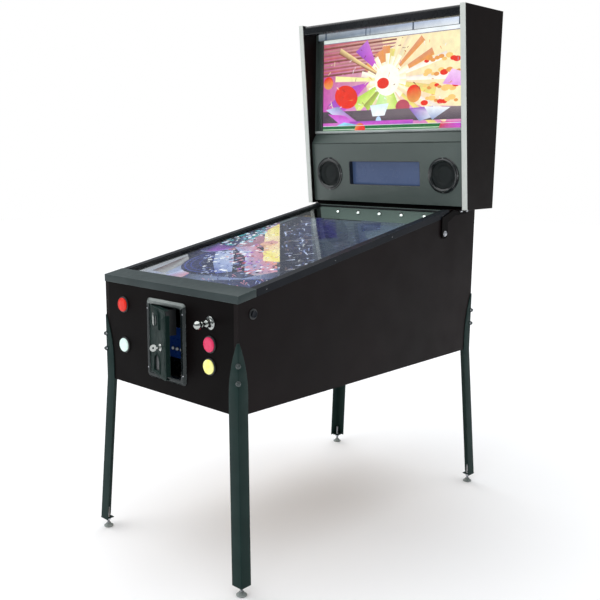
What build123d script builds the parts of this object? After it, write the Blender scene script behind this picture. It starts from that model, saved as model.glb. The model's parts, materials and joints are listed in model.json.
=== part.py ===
from build123d import *
from math import cos, hypot, radians, sin, tan
import os

# A full-size screen-type pinball machine. Millimetres, +Z up, +X to the player's right, +Y away
# from the player. The origin is on the floor under the middle of the machine's whole outline.
# Places are given as (across, depth, height): depth counts from the front face of the cabinet.

# ---- driving dimensions ----
CABINET_WIDTH = 672
CABINET_LENGTH = 1315
CABINET_BASE = 575
PANEL = 18
WOOD_TOP_FRONT = 944.3
DECK_ANGLE = 10.3
SHELF_TOP = 1149.7
BAR_DEPTH = 75

SCREEN_WIDTH, SCREEN_LENGTH = 615, 907
SCREEN_START = 58
SCREEN_DROP = 17

HEAD_WIDTH = 800
HEAD_BASE, HEAD_TOP = 1150, 1896
HEAD_SIDE = 20
HEAD_FRONT_LOW, HEAD_FRONT_HIGH = 1147, 1070
HEAD_REAR_LOW, HEAD_REAR_HIGH = 1338, 1346
TRIM = 3
PANEL_SETBACK = 20
PIVOT_DEPTH, PIVOT_HEIGHT = 1092, 1061
MONITOR_DEPTH, MONITOR_MIDDLE = 1176, 1646.5
MONITOR_WIDTH, MONITOR_HEIGHT = 728, 425
PICTURE_WIDTH, PICTURE_HEIGHT = 698, 393

LEG_FLANGE, LEG_STEEL = 42, 3.2
LEG_FOOT, LEG_APEX, LEG_FULL_WIDTH = 34, 803, 640
SPLAY_X, SPLAY_Y = 36, 24
LEG_BOLT_HEIGHTS = (680, 734)
STUD_RADIUS = 4.9

DOOR_HINGE_X, DOOR_HINGE_DEPTH = -76, -5
DOOR_WIDTH, DOOR_LOW, DOOR_HIGH = 154, 645.5, 872.5
DOOR_AJAR = 20
RETURN_PIN = (68, 3, 710)
LOCK_PLACE = (105, 748)
SERVICE_HEIGHTS = (684, 788)

PLUNGER_X, PLUNGER_Z = 214, 849
PLAYER_BUTTONS = {
    "button_red": (-232, 851),
    "button_white": (-229, 710),
    "button_pink": (211, 781),
    "button_yellow": (209, 710),
}
FLIPPER_DEPTH, FLIPPER_HEIGHT = 62, 885
LEVER_PIVOT = (120, 26, 905)
FLASHER_SPACING = 110
INLET_X, INLET_Z = -220, 650

# The key in the coin door reaches furthest forward and the top of the head furthest back.
KEY_REACH = 78
FRONT_Y = -(HEAD_REAR_HIGH - KEY_REACH) / 2

HALF = CABINET_WIDTH / 2
INNER = HALF - PANEL
HEAD_HALF = HEAD_WIDTH / 2
HEAD_INNER = HEAD_HALF - HEAD_SIDE
SLOPE = tan(radians(DECK_ANGLE))
HEAD_RISE = HEAD_TOP - HEAD_BASE
HEAD_LEAN = (HEAD_FRONT_LOW - HEAD_FRONT_HIGH) / HEAD_RISE
PANEL_FOOT = HEAD_FRONT_LOW + PANEL_SETBACK

UP = (Align.CENTER, Align.CENTER, Align.MIN)
DOWN = (Align.CENTER, Align.CENTER, Align.MAX)

# ---- the planes that the pieces are drawn on ----
CABINET = Plane((0, FRONT_Y, 0))
DECK = Plane(
    origin=(0, FRONT_Y, WOOD_TOP_FRONT),
    x_dir=(1, 0, 0),
    z_dir=(0, -sin(radians(DECK_ANGLE)), cos(radians(DECK_ANGLE))),
)
DOOR = Plane(
    origin=(DOOR_HINGE_X, FRONT_Y + DOOR_HINGE_DEPTH, 0),
    x_dir=(cos(radians(DOOR_AJAR)), -sin(radians(DOOR_AJAR)), 0),
    z_dir=(0, 0, 1),
)


def front(depth):
    """A plane facing the player."""
    return Plane(origin=(0, FRONT_Y + depth, 0), x_dir=(1, 0, 0), z_dir=(0, -1, 0))


def side(across):
    """A plane facing +X, drawn in depth and height."""
    return Plane(origin=(across, FRONT_Y, 0), x_dir=(0, 1, 0), z_dir=(1, 0, 0))


def level(height):
    """A plane facing up, drawn across and in depth."""
    return Plane(origin=(0, FRONT_Y, height), x_dir=(1, 0, 0), z_dir=(0, 0, 1))


def door_face(depth):
    """A plane facing out of the coin door, drawn along the door and in height."""
    facing = Vector(DOOR.y_dir) * -1
    return Plane(origin=DOOR.from_local_coords((0, depth, 0)), x_dir=DOOR.x_dir, z_dir=facing)


def head_face(depth):
    """A plane along the leaning front edges of the head, drawn across and upwards."""
    run = hypot(HEAD_LEAN, 1)
    place = (0, FRONT_Y + HEAD_FRONT_LOW + depth, HEAD_BASE)
    return Plane(origin=place, x_dir=(1, 0, 0), z_dir=(0, -1 / run, -HEAD_LEAN / run))


def wood_top(depth):
    """Height of the sloping top edge of the cabinet's sides."""
    return WOOD_TOP_FRONT + depth * SLOPE


def head_front(height):
    """Depth of the head's leaning front edge."""
    return HEAD_FRONT_LOW - (height - HEAD_BASE) * HEAD_LEAN


def block(low, high, mode=Mode.ADD):
    """A box between two corners."""
    low, high = Vector(*low), Vector(*high)
    size = high - low
    with Locations((low + high) * 0.5):
        Box(size.X, size.Y, size.Z, mode=mode)


def along_x(place, radius, length, mode=Mode.ADD):
    """A round bar or bore across the machine, centred on a place."""
    with Locations(Location(place, (0, 90, 0))):
        Cylinder(radius, length, mode=mode)


def along_y(place, radius, length, mode=Mode.ADD):
    """A round bar or bore from front to back, centred on a place."""
    with Locations(Location(place, (90, 0, 0))):
        Cylinder(radius, length, mode=mode)


def outer_faces(piece, plane, count=1):
    """The faces of a piece that lie furthest out along a plane's facing."""
    return piece.faces().sort_by(Axis(plane.origin, plane.z_dir))[-count:]


def save(piece, label):
    """Name a finished piece and write it."""
    piece.part.label = label
    export_step(piece.part, f"parts/{label}.step")


def leg_corners():
    """Each corner of the cabinet: its name, side sign, end sign and depth."""
    for end_name, end, depth in (("front", -1, 0), ("rear", 1, CABINET_LENGTH)):
        for side_name, sign in (("left", -1), ("right", 1)):
            yield f"{end_name}_{side_name}", sign, end, depth


def leg_bolt_planes():
    """Planes on the corner edges, facing out along the diagonal, one for each leg bolt."""
    planes = []
    for _, sign, end, depth in leg_corners():
        for height in LEG_BOLT_HEIGHTS:
            corner = (sign * HALF, FRONT_Y + depth, height)
            planes.append(Plane(origin=corner, x_dir=(0, 0, 1), z_dir=(sign, end, 0)))
    return planes


def leg_bolt_holes():
    """Clearance holes for the leg bolts, cut inwards from the corner edges."""
    with Locations(*leg_bolt_planes()):
        Cylinder(5.1, 150, mode=Mode.SUBTRACT)


def leg_bolt_holes_in(piece):
    """The piece with the leg bolt holes cut through it."""
    with BuildPart() as drilled:
        add(piece.part)
        leg_bolt_holes()
    return drilled


os.makedirs("parts", exist_ok=True)

# ==== cabinet ====

for name, sign in (("left", -1), ("right", 1)):
    with BuildPart() as cabinet_side:
        with BuildSketch(side(sign * HALF)):
            flat_start = (SHELF_TOP - WOOD_TOP_FRONT) / SLOPE
            with BuildLine():
                Polyline(
                    (0, CABINET_BASE),
                    (CABINET_LENGTH, CABINET_BASE),
                    (CABINET_LENGTH, SHELF_TOP),
                    (flat_start, SHELF_TOP),
                    (0, WOOD_TOP_FRONT),
                    close=True,
                )
            make_face()
            with Locations((PIVOT_DEPTH, PIVOT_HEIGHT)):
                Circle(6.3, mode=Mode.SUBTRACT)
            with Locations((FLIPPER_DEPTH, FLIPPER_HEIGHT)):
                Circle(8.3, mode=Mode.SUBTRACT)
        extrude(amount=-sign * PANEL)
    save(leg_bolt_holes_in(cabinet_side), f"cabinet_side_{name}")

with BuildPart() as cabinet_front_panel:
    with BuildSketch(front(0)):
        with Locations((0, (CABINET_BASE + 938) / 2)):
            Rectangle(2 * INNER, 938 - CABINET_BASE)
        with Locations((0, 759)):
            Rectangle(168, 240, mode=Mode.SUBTRACT)
        with Locations(*PLAYER_BUTTONS.values()):
            Circle(14.3, mode=Mode.SUBTRACT)
        with Locations((PLUNGER_X, PLUNGER_Z)):
            Circle(12.3, mode=Mode.SUBTRACT)
    extrude(amount=-PANEL)
save(leg_bolt_holes_in(cabinet_front_panel), "cabinet_front_panel")

with BuildPart() as cabinet_back_panel:
    with BuildSketch(front(CABINET_LENGTH)):
        with Locations((0, (CABINET_BASE + SHELF_TOP - PANEL) / 2)):
            Rectangle(2 * INNER, SHELF_TOP - PANEL - CABINET_BASE)
        with Locations((INLET_X, INLET_Z)):
            Rectangle(48, 58, mode=Mode.SUBTRACT)
        with Locations((0, 1040)), GridLocations(44, 60, 9, 2):
            SlotOverall(46, 8, rotation=90, mode=Mode.SUBTRACT)
    extrude(amount=PANEL)
save(leg_bolt_holes_in(cabinet_back_panel), "cabinet_back_panel")

with BuildPart() as cabinet_floor:
    with BuildSketch(level(CABINET_BASE)):
        with Locations((0, CABINET_LENGTH / 2)):
            Rectangle(2 * INNER, CABINET_LENGTH - 2 * PANEL)
        with Locations((0, 420)), GridLocations(44, 60, 7, 2):
            SlotOverall(46, 8, rotation=90, mode=Mode.SUBTRACT)
    extrude(amount=PANEL)
save(cabinet_floor, "cabinet_floor")

with BuildPart(CABINET) as cabinet_rear_shelf:
    block((-INNER, 1160, SHELF_TOP - PANEL), (INNER, CABINET_LENGTH, SHELF_TOP))
    with Locations((0, 1250, SHELF_TOP)):
        Cylinder(36, 100, mode=Mode.SUBTRACT)
save(cabinet_rear_shelf, "cabinet_rear_shelf")

# Triangular posts behind the corners take the leg bolts, and two battens carry the screen.
POST = 62
with BuildPart() as posts:
    for _, sign, end, depth in leg_corners():
        corner_x, corner_depth = sign * INNER, depth - end * PANEL
        with BuildSketch(level(CABINET_BASE + PANEL)):
            with BuildLine():
                Polyline(
                    (corner_x, corner_depth),
                    (corner_x - sign * POST, corner_depth),
                    (corner_x, corner_depth - end * POST),
                    close=True,
                )
            make_face()
        extrude(amount=200)
    for sign in (-1, 1):
        with Locations(DECK.location * Location((sign * (INNER - 14), 600, -51))):
            Box(28, 900, 36)
save(leg_bolt_holes_in(posts), "cabinet_battens")

# ==== legs ====


def leg_profile(sign, end, depth, height):
    """The angle section of a leg, with its outer ridge over the cabinet's corner."""
    ridge_x, ridge_depth = sign * (HALF + LEG_STEEL), depth + end * LEG_STEEL
    with BuildSketch(level(height)) as profile:
        with Locations((ridge_x - sign * LEG_FLANGE / 2, ridge_depth - end * LEG_STEEL / 2)):
            Rectangle(LEG_FLANGE, LEG_STEEL)
        with Locations((ridge_x - sign * LEG_STEEL / 2, ridge_depth - end * LEG_FLANGE / 2)):
            Rectangle(LEG_STEEL, LEG_FLANGE)
        fillet(profile.vertices().sort_by_distance((ridge_x, ridge_depth, 0))[0], radius=3)
    return profile.sketch


def taper_cut(plane):
    """What is cut from a flange to leave a rounded point, drawn inwards from the ridge."""
    reach, above = LEG_FLANGE + 10, LEG_APEX + 20
    middle = (LEG_FLANGE * 0.66, LEG_FULL_WIDTH + (LEG_APEX - LEG_FULL_WIDTH) * 0.62)
    with BuildSketch(plane) as outline:
        with BuildLine():
            ThreePointArc((6, LEG_APEX), middle, (LEG_FLANGE, LEG_FULL_WIDTH))
            Polyline(
                (LEG_FLANGE, LEG_FULL_WIDTH),
                (reach, LEG_FULL_WIDTH),
                (reach, above),
                (6, above),
                (6, LEG_APEX),
            )
        make_face()
    return outline.sketch


def leg(sign, end, depth):
    """One leg: upright against the cabinet, splayed below it, with a foot plate."""
    splay = Vector(sign * SPLAY_X, end * SPLAY_Y, LEG_FOOT - CABINET_BASE)
    ridge_x, ridge_depth = sign * (HALF + LEG_STEEL), depth + end * LEG_STEEL
    foot_x, foot_depth = ridge_x + splay.X, ridge_depth + splay.Y
    across = Plane(
        origin=(ridge_x, FRONT_Y + ridge_depth, 0), x_dir=(-sign, 0, 0), z_dir=(0, sign, 0)
    )
    inwards = Plane(
        origin=(ridge_x, FRONT_Y + ridge_depth, 0), x_dir=(0, -end, 0), z_dir=(-end, 0, 0)
    )
    plate = LEG_FLANGE - 8
    with BuildPart() as blank:
        extrude(leg_profile(sign, end, depth, CABINET_BASE), amount=LEG_APEX - CABINET_BASE)
        extrude(leg_profile(sign, end, depth, CABINET_BASE), amount=splay.length, dir=splay)
        for plane in (across, inwards):
            extrude(taper_cut(plane), amount=6, both=True, mode=Mode.SUBTRACT)
        with BuildSketch(level(LEG_FOOT)):
            with Locations((foot_x - sign * plate / 2, foot_depth - end * plate / 2)):
                Rectangle(plate, plate)
            with Locations((foot_x - sign * 20, foot_depth - end * 20)):
                Circle(STUD_RADIUS + 0.08, mode=Mode.SUBTRACT)
        extrude(amount=LEG_STEEL)
    return blank


with BuildPart() as legs:
    for _, sign, end, depth in leg_corners():
        add(leg(sign, end, depth).part)
save(leg_bolt_holes_in(legs), "legs")

BOLT_SEAT = 3.4
WASHER = 2.4
with BuildPart() as cabinet_bolts:
    with Locations(*leg_bolt_planes()):
        Cylinder(4.8, 70, align=DOWN)
        Cylinder(4.8, BOLT_SEAT + WASHER, align=UP)
    with Locations(*[plane.offset(BOLT_SEAT) for plane in leg_bolt_planes()]):
        Cylinder(10, WASHER, align=UP)
    with BuildSketch(*[plane.offset(BOLT_SEAT + WASHER) for plane in leg_bolt_planes()]):
        RegularPolygon(8, 6)
    extrude(amount=7)
    for sign in (-1, 1):
        hole = Location((sign * HALF, FRONT_Y + PIVOT_DEPTH, PIVOT_HEIGHT), (0, sign * 90, 0))
        with Locations(hole * Location((0, 0, -26))):
            Cylinder(6, 35, align=UP)
            Cylinder(10, 8, align=UP)
        with Locations(hole * Location((0, 0, 7))):
            Cylinder(11, 2, align=UP)
        with Locations(hole * Location((0, 0, 9))):
            Cone(9, 5, 4, align=UP)
save(cabinet_bolts, "cabinet_bolts")


def leveler(sign, end, depth):
    """A screw foot: pad, hexagon and stud."""
    foot_x = sign * (HALF + LEG_STEEL + SPLAY_X - 20)
    foot_depth = depth + end * (LEG_STEEL + SPLAY_Y - 20)
    with BuildPart() as foot:
        with BuildSketch(Plane.XZ.offset(-FRONT_Y - foot_depth)):
            with BuildLine():
                Polyline((foot_x, 0), (foot_x + 17, 0), (foot_x + 17, 5), (foot_x + 8, 14))
                Polyline((foot_x + 8, 14), (foot_x + STUD_RADIUS, 16))
                Polyline((foot_x + STUD_RADIUS, 16), (foot_x + STUD_RADIUS, 72))
                Polyline((foot_x + STUD_RADIUS, 72), (foot_x, 74), (foot_x, 0))
            make_face()
        axis = Axis((foot_x, FRONT_Y + foot_depth, 0), (0, 0, 1))
        revolve(axis=axis)
        with BuildSketch(level(LEG_FOOT - 8.3)):
            with Locations((foot_x, foot_depth)):
                RegularPolygon(9, 6)
        extrude(amount=8)
    return foot


for name, sign, end, depth in leg_corners():
    save(leveler(sign, end, depth), f"leveler_{name}")

# ==== lockdown bar, rails and glass ====

with BuildPart(CABINET) as lockdown_bar:
    with BuildSketch(side(0)):
        with BuildLine():
            Polyline(
                (-2.3, wood_top(0) - 22),
                (-2.3, wood_top(-2.3) + 2.3),
                (BAR_DEPTH, wood_top(BAR_DEPTH) + 2.3),
                (BAR_DEPTH, wood_top(BAR_DEPTH) - 22),
                close=True,
            )
        make_face()
    extrude(amount=HALF + 2.3, both=True)
    nose = lockdown_bar.edges().filter_by(Axis.X).sort_by(Axis.Y)[0:2].sort_by(Axis.Z)[-1]
    corners = lockdown_bar.edges().filter_by(Axis.Z).group_by(Axis.Y)[0]
    fillet(corners + [nose], radius=1.8)
    with BuildSketch(side(0)):
        with BuildLine():
            Polyline(
                (-0.3, wood_top(0) - 30),
                (-0.3, wood_top(0) + 0.3),
                (BAR_DEPTH + 1, wood_top(BAR_DEPTH + 1) + 0.3),
                (BAR_DEPTH + 1, wood_top(0) - 30),
                close=True,
            )
        make_face()
    extrude(amount=HALF + 0.3, both=True, mode=Mode.SUBTRACT)
    for across in (-200, 200):
        block((across - 13, 38, 900), (across + 13, 41, wood_top(40) + 1))
save(lockdown_bar, "lockdown_bar")

with BuildPart(CABINET) as lockbar_receiver:
    block((-285, PANEL, 872), (285, PANEL + 2.5, 925))
    block((-285, PANEL, 922.5), (285, 50, 925))
    for across in (-200, 200):
        block((across - 16, 34, 915), (across + 16, 45, 930), mode=Mode.SUBTRACT)
    along_y((LEVER_PIVOT[0], PANEL + 9, LEVER_PIVOT[2]), 4, 18)
save(lockbar_receiver, "lockbar_receiver")

with BuildPart() as lockbar_lever:
    with BuildSketch(front(LEVER_PIVOT[1] - 2)):
        with Locations((LEVER_PIVOT[0], LEVER_PIVOT[2] - 52)):
            SlotOverall(128, 18, rotation=90)
        with Locations((LEVER_PIVOT[0], LEVER_PIVOT[2])):
            Circle(4.08, mode=Mode.SUBTRACT)
    extrude(amount=-4)
save(lockbar_lever, "lockbar_lever")

RAIL_START, RAIL_END = BAR_DEPTH / cos(radians(DECK_ANGLE)) + 1.5, 1142
with BuildPart(DECK) as side_rails:
    for sign in (-1, 1):
        flange = sorted((sign * 306, sign * (HALF + 1.5)))
        lip = sorted((sign * HALF, sign * (HALF + 1.5)))
        block((flange[0], RAIL_START, 0), (flange[1], RAIL_END, 1.5))
        block((lip[0], RAIL_START, -22), (lip[1], RAIL_END, 1.5))
save(side_rails, "side_rails")

with BuildPart(DECK) as playfield_glass:
    block((-311, 79, -11), (311, 1138, -6))
save(playfield_glass, "playfield_glass")

with BuildPart(DECK) as glass_channels:
    for sign in (-1, 1):
        outer = sorted((sign * 302, sign * INNER))
        block((outer[0], 80, -15), (outer[1], 1138, -2.5))
    block((-INNER, 1131, -12.6), (INNER, 1143, -2.5))
    block((-311.2, 70, -11.2), (311.2, 1138.2, -5.8), mode=Mode.SUBTRACT)
save(glass_channels, "glass_channels")

# ==== playfield screen and the flasher panel behind it ====

SCREEN_END = SCREEN_START + SCREEN_LENGTH
SCREEN_FRAME = 10
with BuildPart(DECK) as playfield_screen_case:
    half = SCREEN_WIDTH / 2
    low = -SCREEN_DROP - 16
    block((-half, SCREEN_START, low), (half, SCREEN_END, -SCREEN_DROP))
    block((-180, 420, low - 26), (180, 660, low))
    block(
        (-half + SCREEN_FRAME, SCREEN_START + SCREEN_FRAME, -SCREEN_DROP - 4),
        (half - SCREEN_FRAME, SCREEN_END - SCREEN_FRAME, -SCREEN_DROP + 4),
        mode=Mode.SUBTRACT,
    )
save(playfield_screen_case, "playfield_screen_case")

with BuildPart(DECK) as playfield_screen:
    half = SCREEN_WIDTH / 2 - SCREEN_FRAME
    block(
        (-half, SCREEN_START + SCREEN_FRAME, -SCREEN_DROP - 4),
        (half, SCREEN_END - SCREEN_FRAME, -SCREEN_DROP - 1),
    )
save(playfield_screen, "playfield_screen")

FLASHER_BACK = 1153
with BuildPart(DECK) as flasher_panel:
    block((-INNER, FLASHER_BACK - 6, -110), (INNER, FLASHER_BACK, -4))
    block((30 - INNER, SCREEN_END + 8, -84), (INNER - 30, FLASHER_BACK - 5, -78))
    with Locations(Location((0, FLASHER_BACK, -33), (90, 0, 0))):
        with GridLocations(FLASHER_SPACING, 1, 5, 1):
            Cylinder(6.2, 30, mode=Mode.SUBTRACT)
save(flasher_panel, "flasher_panel")

with BuildPart(DECK) as flasher_lamps:
    with Locations(Location((0, FLASHER_BACK - 6, -33), (90, 0, 0))):
        with GridLocations(FLASHER_SPACING, 1, 5, 1):
            Cylinder(6.1, 16, align=DOWN)
            Cylinder(11, 3, align=UP)
            Cone(8, 5, 9, align=UP)
save(flasher_lamps, "flasher_lamps")

# ==== coin door and what hangs on it ====

with BuildPart() as coin_door_frame:
    with BuildSketch(front(0)):
        with Locations((0, 758.5)):
            RectangleRounded(196, 269, 14)
    extrude(amount=10)
    rim = coin_door_frame.faces().sort_by(Axis.Y)[0].edges()
    chamfer(rim, length=7)
    with BuildSketch(front(0)):
        with Locations((0, 759)):
            Rectangle(167, 239)
    extrude(amount=-10)
    with BuildSketch(front(-12)):
        with Locations((0, 759)):
            Rectangle(160, 232)
    extrude(amount=-30, mode=Mode.SUBTRACT)
    pin = (DOOR_HINGE_X, FRONT_Y + DOOR_HINGE_DEPTH, 759)
    with Locations(pin):
        Cylinder(2, 236)
save(coin_door_frame, "coin_door_frame")

with BuildPart(DOOR) as coin_door:
    block((0, -3.5, DOOR_LOW), (DOOR_WIDTH, -1, DOOR_HIGH))
    through_door = Axis((0, 0, 0), DOOR.y_dir)
    free_edge = coin_door.edges().filter_by(through_door).sort_by(Axis.X)[-2:]
    fillet(free_edge, radius=14)
    block((5, -1, DOOR_LOW + 6), (7, 15, DOOR_HIGH - 6))
    block((5, -1, DOOR_LOW), (DOOR_WIDTH - 14, 15, DOOR_LOW + 2))
    block((5, -1, DOOR_HIGH - 2), (DOOR_WIDTH - 14, 15, DOOR_HIGH))
    block((DOOR_WIDTH - 2, -1, DOOR_LOW + 14), (DOOR_WIDTH, 12, DOOR_HIGH - 14))
    with Locations((0, 0, (DOOR_LOW + DOOR_HIGH) / 2)):
        Cylinder(3.5, DOOR_HIGH - DOOR_LOW)
        Cylinder(2.08, DOOR_HIGH, mode=Mode.SUBTRACT)
    for across in (35, 101):
        block((across - 2, -1, 704), (across + 2, 7, 716))
    along_x((RETURN_PIN[0], RETURN_PIN[1], RETURN_PIN[2]), 1.6, 80, mode=Mode.SUBTRACT)
    along_y((LOCK_PLACE[0], 0, LOCK_PLACE[1]), 9.6, 40, mode=Mode.SUBTRACT)
    block((42, -9, 661), (94, 3, 690), mode=Mode.SUBTRACT)
    along_y((68, -2, 690), 26, 10, mode=Mode.SUBTRACT)
    block((50, -9, 812), (56, 3, 852), mode=Mode.SUBTRACT)
save(coin_door, "coin_door")

DOOR_FACE = door_face(-3.5)
with BuildPart() as coin_entry_plate:
    with BuildSketch(DOOR_FACE):
        with Locations((68, 826)):
            Rectangle(66, 44)
        with Locations((68, 838)):
            Circle(33)
        with Locations((53, 832)):
            Rectangle(3.2, 32, mode=Mode.SUBTRACT)
    extrude(amount=6)
    chamfer(outer_faces(coin_entry_plate, DOOR_FACE)[0].outer_wire().edges(), length=2)
    with BuildSketch(door_face(-9.5)):
        with Locations((80, 832)):
            SlotOverall(36, 17, rotation=90)
    extrude(amount=-3, mode=Mode.SUBTRACT)
save(coin_entry_plate, "coin_entry_plate")

with BuildPart(DOOR) as coin_return_flap:
    block((39, 0.2, 656), (97, 2.2, 708))
    along_x(RETURN_PIN, 2.8, 60)
    along_x(RETURN_PIN, 1.53, 70)
save(coin_return_flap, "coin_return_flap")

with BuildPart(DOOR) as coin_lock_barrel:
    along_y((LOCK_PLACE[0], 4.75, LOCK_PLACE[1]), 9.5, 21.5)
    along_y((LOCK_PLACE[0], -5, LOCK_PLACE[1]), 13, 3)
    along_y((LOCK_PLACE[0], 1.5, LOCK_PLACE[1]), 14, 5)
    along_y((LOCK_PLACE[0], 4, LOCK_PLACE[1]), 6.08, 40, mode=Mode.SUBTRACT)
save(coin_lock_barrel, "coin_lock_barrel")

with BuildPart(DOOR) as coin_lock_key:
    lock_x, lock_z = LOCK_PLACE
    along_y((lock_x, 5.5, lock_z), 6, 22)
    block((lock_x - 7, 16.5, lock_z - 54), (lock_x + 7, 19, lock_z + 8))
    block((lock_x - 1.1, -20, lock_z - 4), (lock_x + 1.1, -5, lock_z + 4))
    along_x((lock_x, -28, lock_z), 11, 2.2)
    along_x((lock_x, -30, lock_z), 4, 10, mode=Mode.SUBTRACT)
save(coin_lock_key, "coin_lock_key")

with BuildPart(DOOR) as coin_mech:
    block((40, -0.7, 780), (92, 56, 866))
    block((51, -2, 790), (55.2, 60, 860), mode=Mode.SUBTRACT)
    block((62, 20, 792), (86, 60, 850), mode=Mode.SUBTRACT)
save(coin_mech, "coin_mech")

# ==== inside the cabinet ====

with BuildPart(CABINET) as service_panel:
    low, high = SERVICE_HEIGHTS
    block((-88, 70, low), (88, 73, high))
    for sign in (-1, 1):
        arm = sorted((sign * 86, sign * 88))
        block((arm[0], PANEL, low), (arm[1], 70, high))
        ear = sorted((sign * 86, sign * 102))
        block((ear[0], PANEL, low), (ear[1], PANEL + 2, high))
save(service_panel, "service_panel")

FLOOR_TOP = CABINET_BASE + PANEL
with BuildPart(CABINET) as cash_box:
    block((-95, 90, FLOOR_TOP), (95, 290, FLOOR_TOP + 84))
    block((-93, 92, FLOOR_TOP + 2), (93, 288, FLOOR_TOP + 90), mode=Mode.SUBTRACT)
save(cash_box, "cash_box")

with BuildPart(CABINET) as computer:
    block((60, 620, FLOOR_TOP), (250, 1020, FLOOR_TOP + 170))
    block((61.5, 621.5, FLOOR_TOP + 1.5), (248.5, 1018.5, FLOOR_TOP + 168.5), mode=Mode.SUBTRACT)
    for step in range(8):
        low = FLOOR_TOP + 30 + 14 * step
        block((80, 615, low), (230, 625, low + 7), mode=Mode.SUBTRACT)
save(computer, "computer")

INLET = Plane((INLET_X, FRONT_Y + CABINET_LENGTH, INLET_Z))
ROCKER_HEIGHT, ROCKER_DEPTH = 15, -3
with BuildPart(INLET) as power_inlet:
    block((-27, 0, -32), (27, 3, 32))
    block((-23.5, -28, -28.5), (23.5, 0, 28.5))
    block((-12, -16, -22), (12, 5, -5), mode=Mode.SUBTRACT)
    block((-12.4, -12, 4), (12.4, 5, 26), mode=Mode.SUBTRACT)
    for across in (-7, 0, 7):
        block((across - 1, -20, -15.5), (across + 1, -2, -11.5))
save(power_inlet, "power_inlet")

# The rocker leans out at its top and turns on a pin across the inlet.
ROCKER = Plane(
    origin=INLET.from_local_coords((0, ROCKER_DEPTH, ROCKER_HEIGHT)),
    x_dir=(0, 1, 0),
    z_dir=(1, 0, 0),
)
with BuildPart() as power_switch:
    with BuildSketch(ROCKER):
        with BuildLine():
            Polyline((4.6, -8.8), (8, 8.8), (-3, 8.8), (-6, 0), (-3, -8.8), close=True)
        make_face()
    extrude(amount=11.5, both=True)
    with Locations(ROCKER.location):
        Cylinder(1.5, 24.2)
save(power_switch, "power_switch")

# ==== plunger ====

with BuildPart(CABINET) as plunger_housing:
    along_y((PLUNGER_X, -2, PLUNGER_Z), 21, 4)
    along_y((PLUNGER_X, -12, PLUNGER_Z), 13, 16)
    along_y((PLUNGER_X, 11, PLUNGER_Z), 12, 22)
    along_y((PLUNGER_X, 20.5, PLUNGER_Z), 17, 5)
    along_y((PLUNGER_X, 0, PLUNGER_Z), 5.08, 80, mode=Mode.SUBTRACT)
save(plunger_housing, "plunger_housing")

with BuildPart(CABINET) as plunger_rod:
    along_y((PLUNGER_X, 47.5, PLUNGER_Z), 5, 205)
    along_y((PLUNGER_X, 112, PLUNGER_Z), 12, 3)
save(plunger_rod, "plunger_rod")

with BuildPart() as plunger_knob:
    with BuildSketch(side(PLUNGER_X)):
        with BuildLine():
            Line((-66, PLUNGER_Z), (-66, PLUNGER_Z + 7))
            Spline(
                (-66, PLUNGER_Z + 7),
                (-60, PLUNGER_Z + 14),
                (-50, PLUNGER_Z + 13),
                (-42, PLUNGER_Z + 7.5),
                tangents=[(0, 1), (1, -0.3)],
            )
            Polyline((-42, PLUNGER_Z + 7.5), (-36, PLUNGER_Z + 7), (-36, PLUNGER_Z))
            Line((-36, PLUNGER_Z), (-66, PLUNGER_Z))
        make_face()
    revolve(axis=Axis((PLUNGER_X, FRONT_Y, PLUNGER_Z), (0, 1, 0)))
    with Locations(Location((PLUNGER_X, FRONT_Y - 36, PLUNGER_Z), (90, 0, 0))):
        Cylinder(5, 38, mode=Mode.SUBTRACT)
save(plunger_knob, "plunger_knob")

SPRING_START, SPRING_END, SPRING_TURNS = 24, 109.5, 15
with BuildPart() as plunger_spring:
    wire = 1.3
    pitch = (SPRING_END - SPRING_START) / SPRING_TURNS
    with BuildLine():
        coil = Helix(
            pitch,
            SPRING_END - SPRING_START,
            8.5,
            center=(PLUNGER_X, FRONT_Y + SPRING_START, PLUNGER_Z),
            direction=(0, 1, 0),
        )
    with BuildSketch(Plane(origin=coil @ 0, z_dir=coil % 0)):
        Circle(wire / 2)
    sweep(is_frenet=True)
save(plunger_spring, "plunger_spring")

# ==== push buttons ====


def button_cap(radius, stem, rise, underside):
    """A domed cap on a stem. Local z points out of the panel and z = 0 is the panel's face."""
    Cylinder(stem, 30, align=DOWN)
    with Locations((0, 0, -0.5)):
        Cylinder(stem, underside + 1, align=UP)
    with Locations((0, 0, underside)):
        Cylinder(radius, rise * 0.55, align=UP)
    with Locations((0, 0, underside + rise * 0.55)):
        Cone(radius, radius * 0.82, rise * 0.3, align=UP)
    with Locations((0, 0, underside + rise * 0.85)):
        Cone(radius * 0.82, radius * 0.4, rise * 0.15, align=UP)


def button_housing(outer, inner, neck, stem, depth, lip):
    """A button's bezel, threaded neck, nut and, behind it, its switch."""
    Cylinder(outer, lip, align=UP)
    Cylinder(neck, depth, align=DOWN)
    with Locations((0, 0, -PANEL)):
        Cylinder(neck + 7, 7, align=DOWN)
    with Locations((0, 0, 1.3)):
        Cylinder(inner, lip, align=UP, mode=Mode.SUBTRACT)
    Cylinder(stem, 100, mode=Mode.SUBTRACT)


button_places = {
    label: Plane(origin=(x, FRONT_Y, z), x_dir=(1, 0, 0), z_dir=(0, -1, 0))
    for label, (x, z) in PLAYER_BUTTONS.items()
}
flipper_places = {
    f"flipper_button_{name}": Plane(
        origin=(sign * HALF, FRONT_Y + FLIPPER_DEPTH, FLIPPER_HEIGHT),
        x_dir=(0, 1, 0),
        z_dir=(sign, 0, 0),
    )
    for name, sign in (("left", -1), ("right", 1))
}

with BuildPart() as button_housings:
    with Locations(*button_places.values()):
        button_housing(27.5, 23.8, 14, 6.3, 36, 5)
    with Locations(*button_places.values()):
        with Locations((0, 0, -54)):
            Box(20, 28, 22)
    with Locations(*flipper_places.values()):
        button_housing(16.5, 11.3, 8, 3.3, 30, 4)
save(button_housings, "button_housings")

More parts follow.
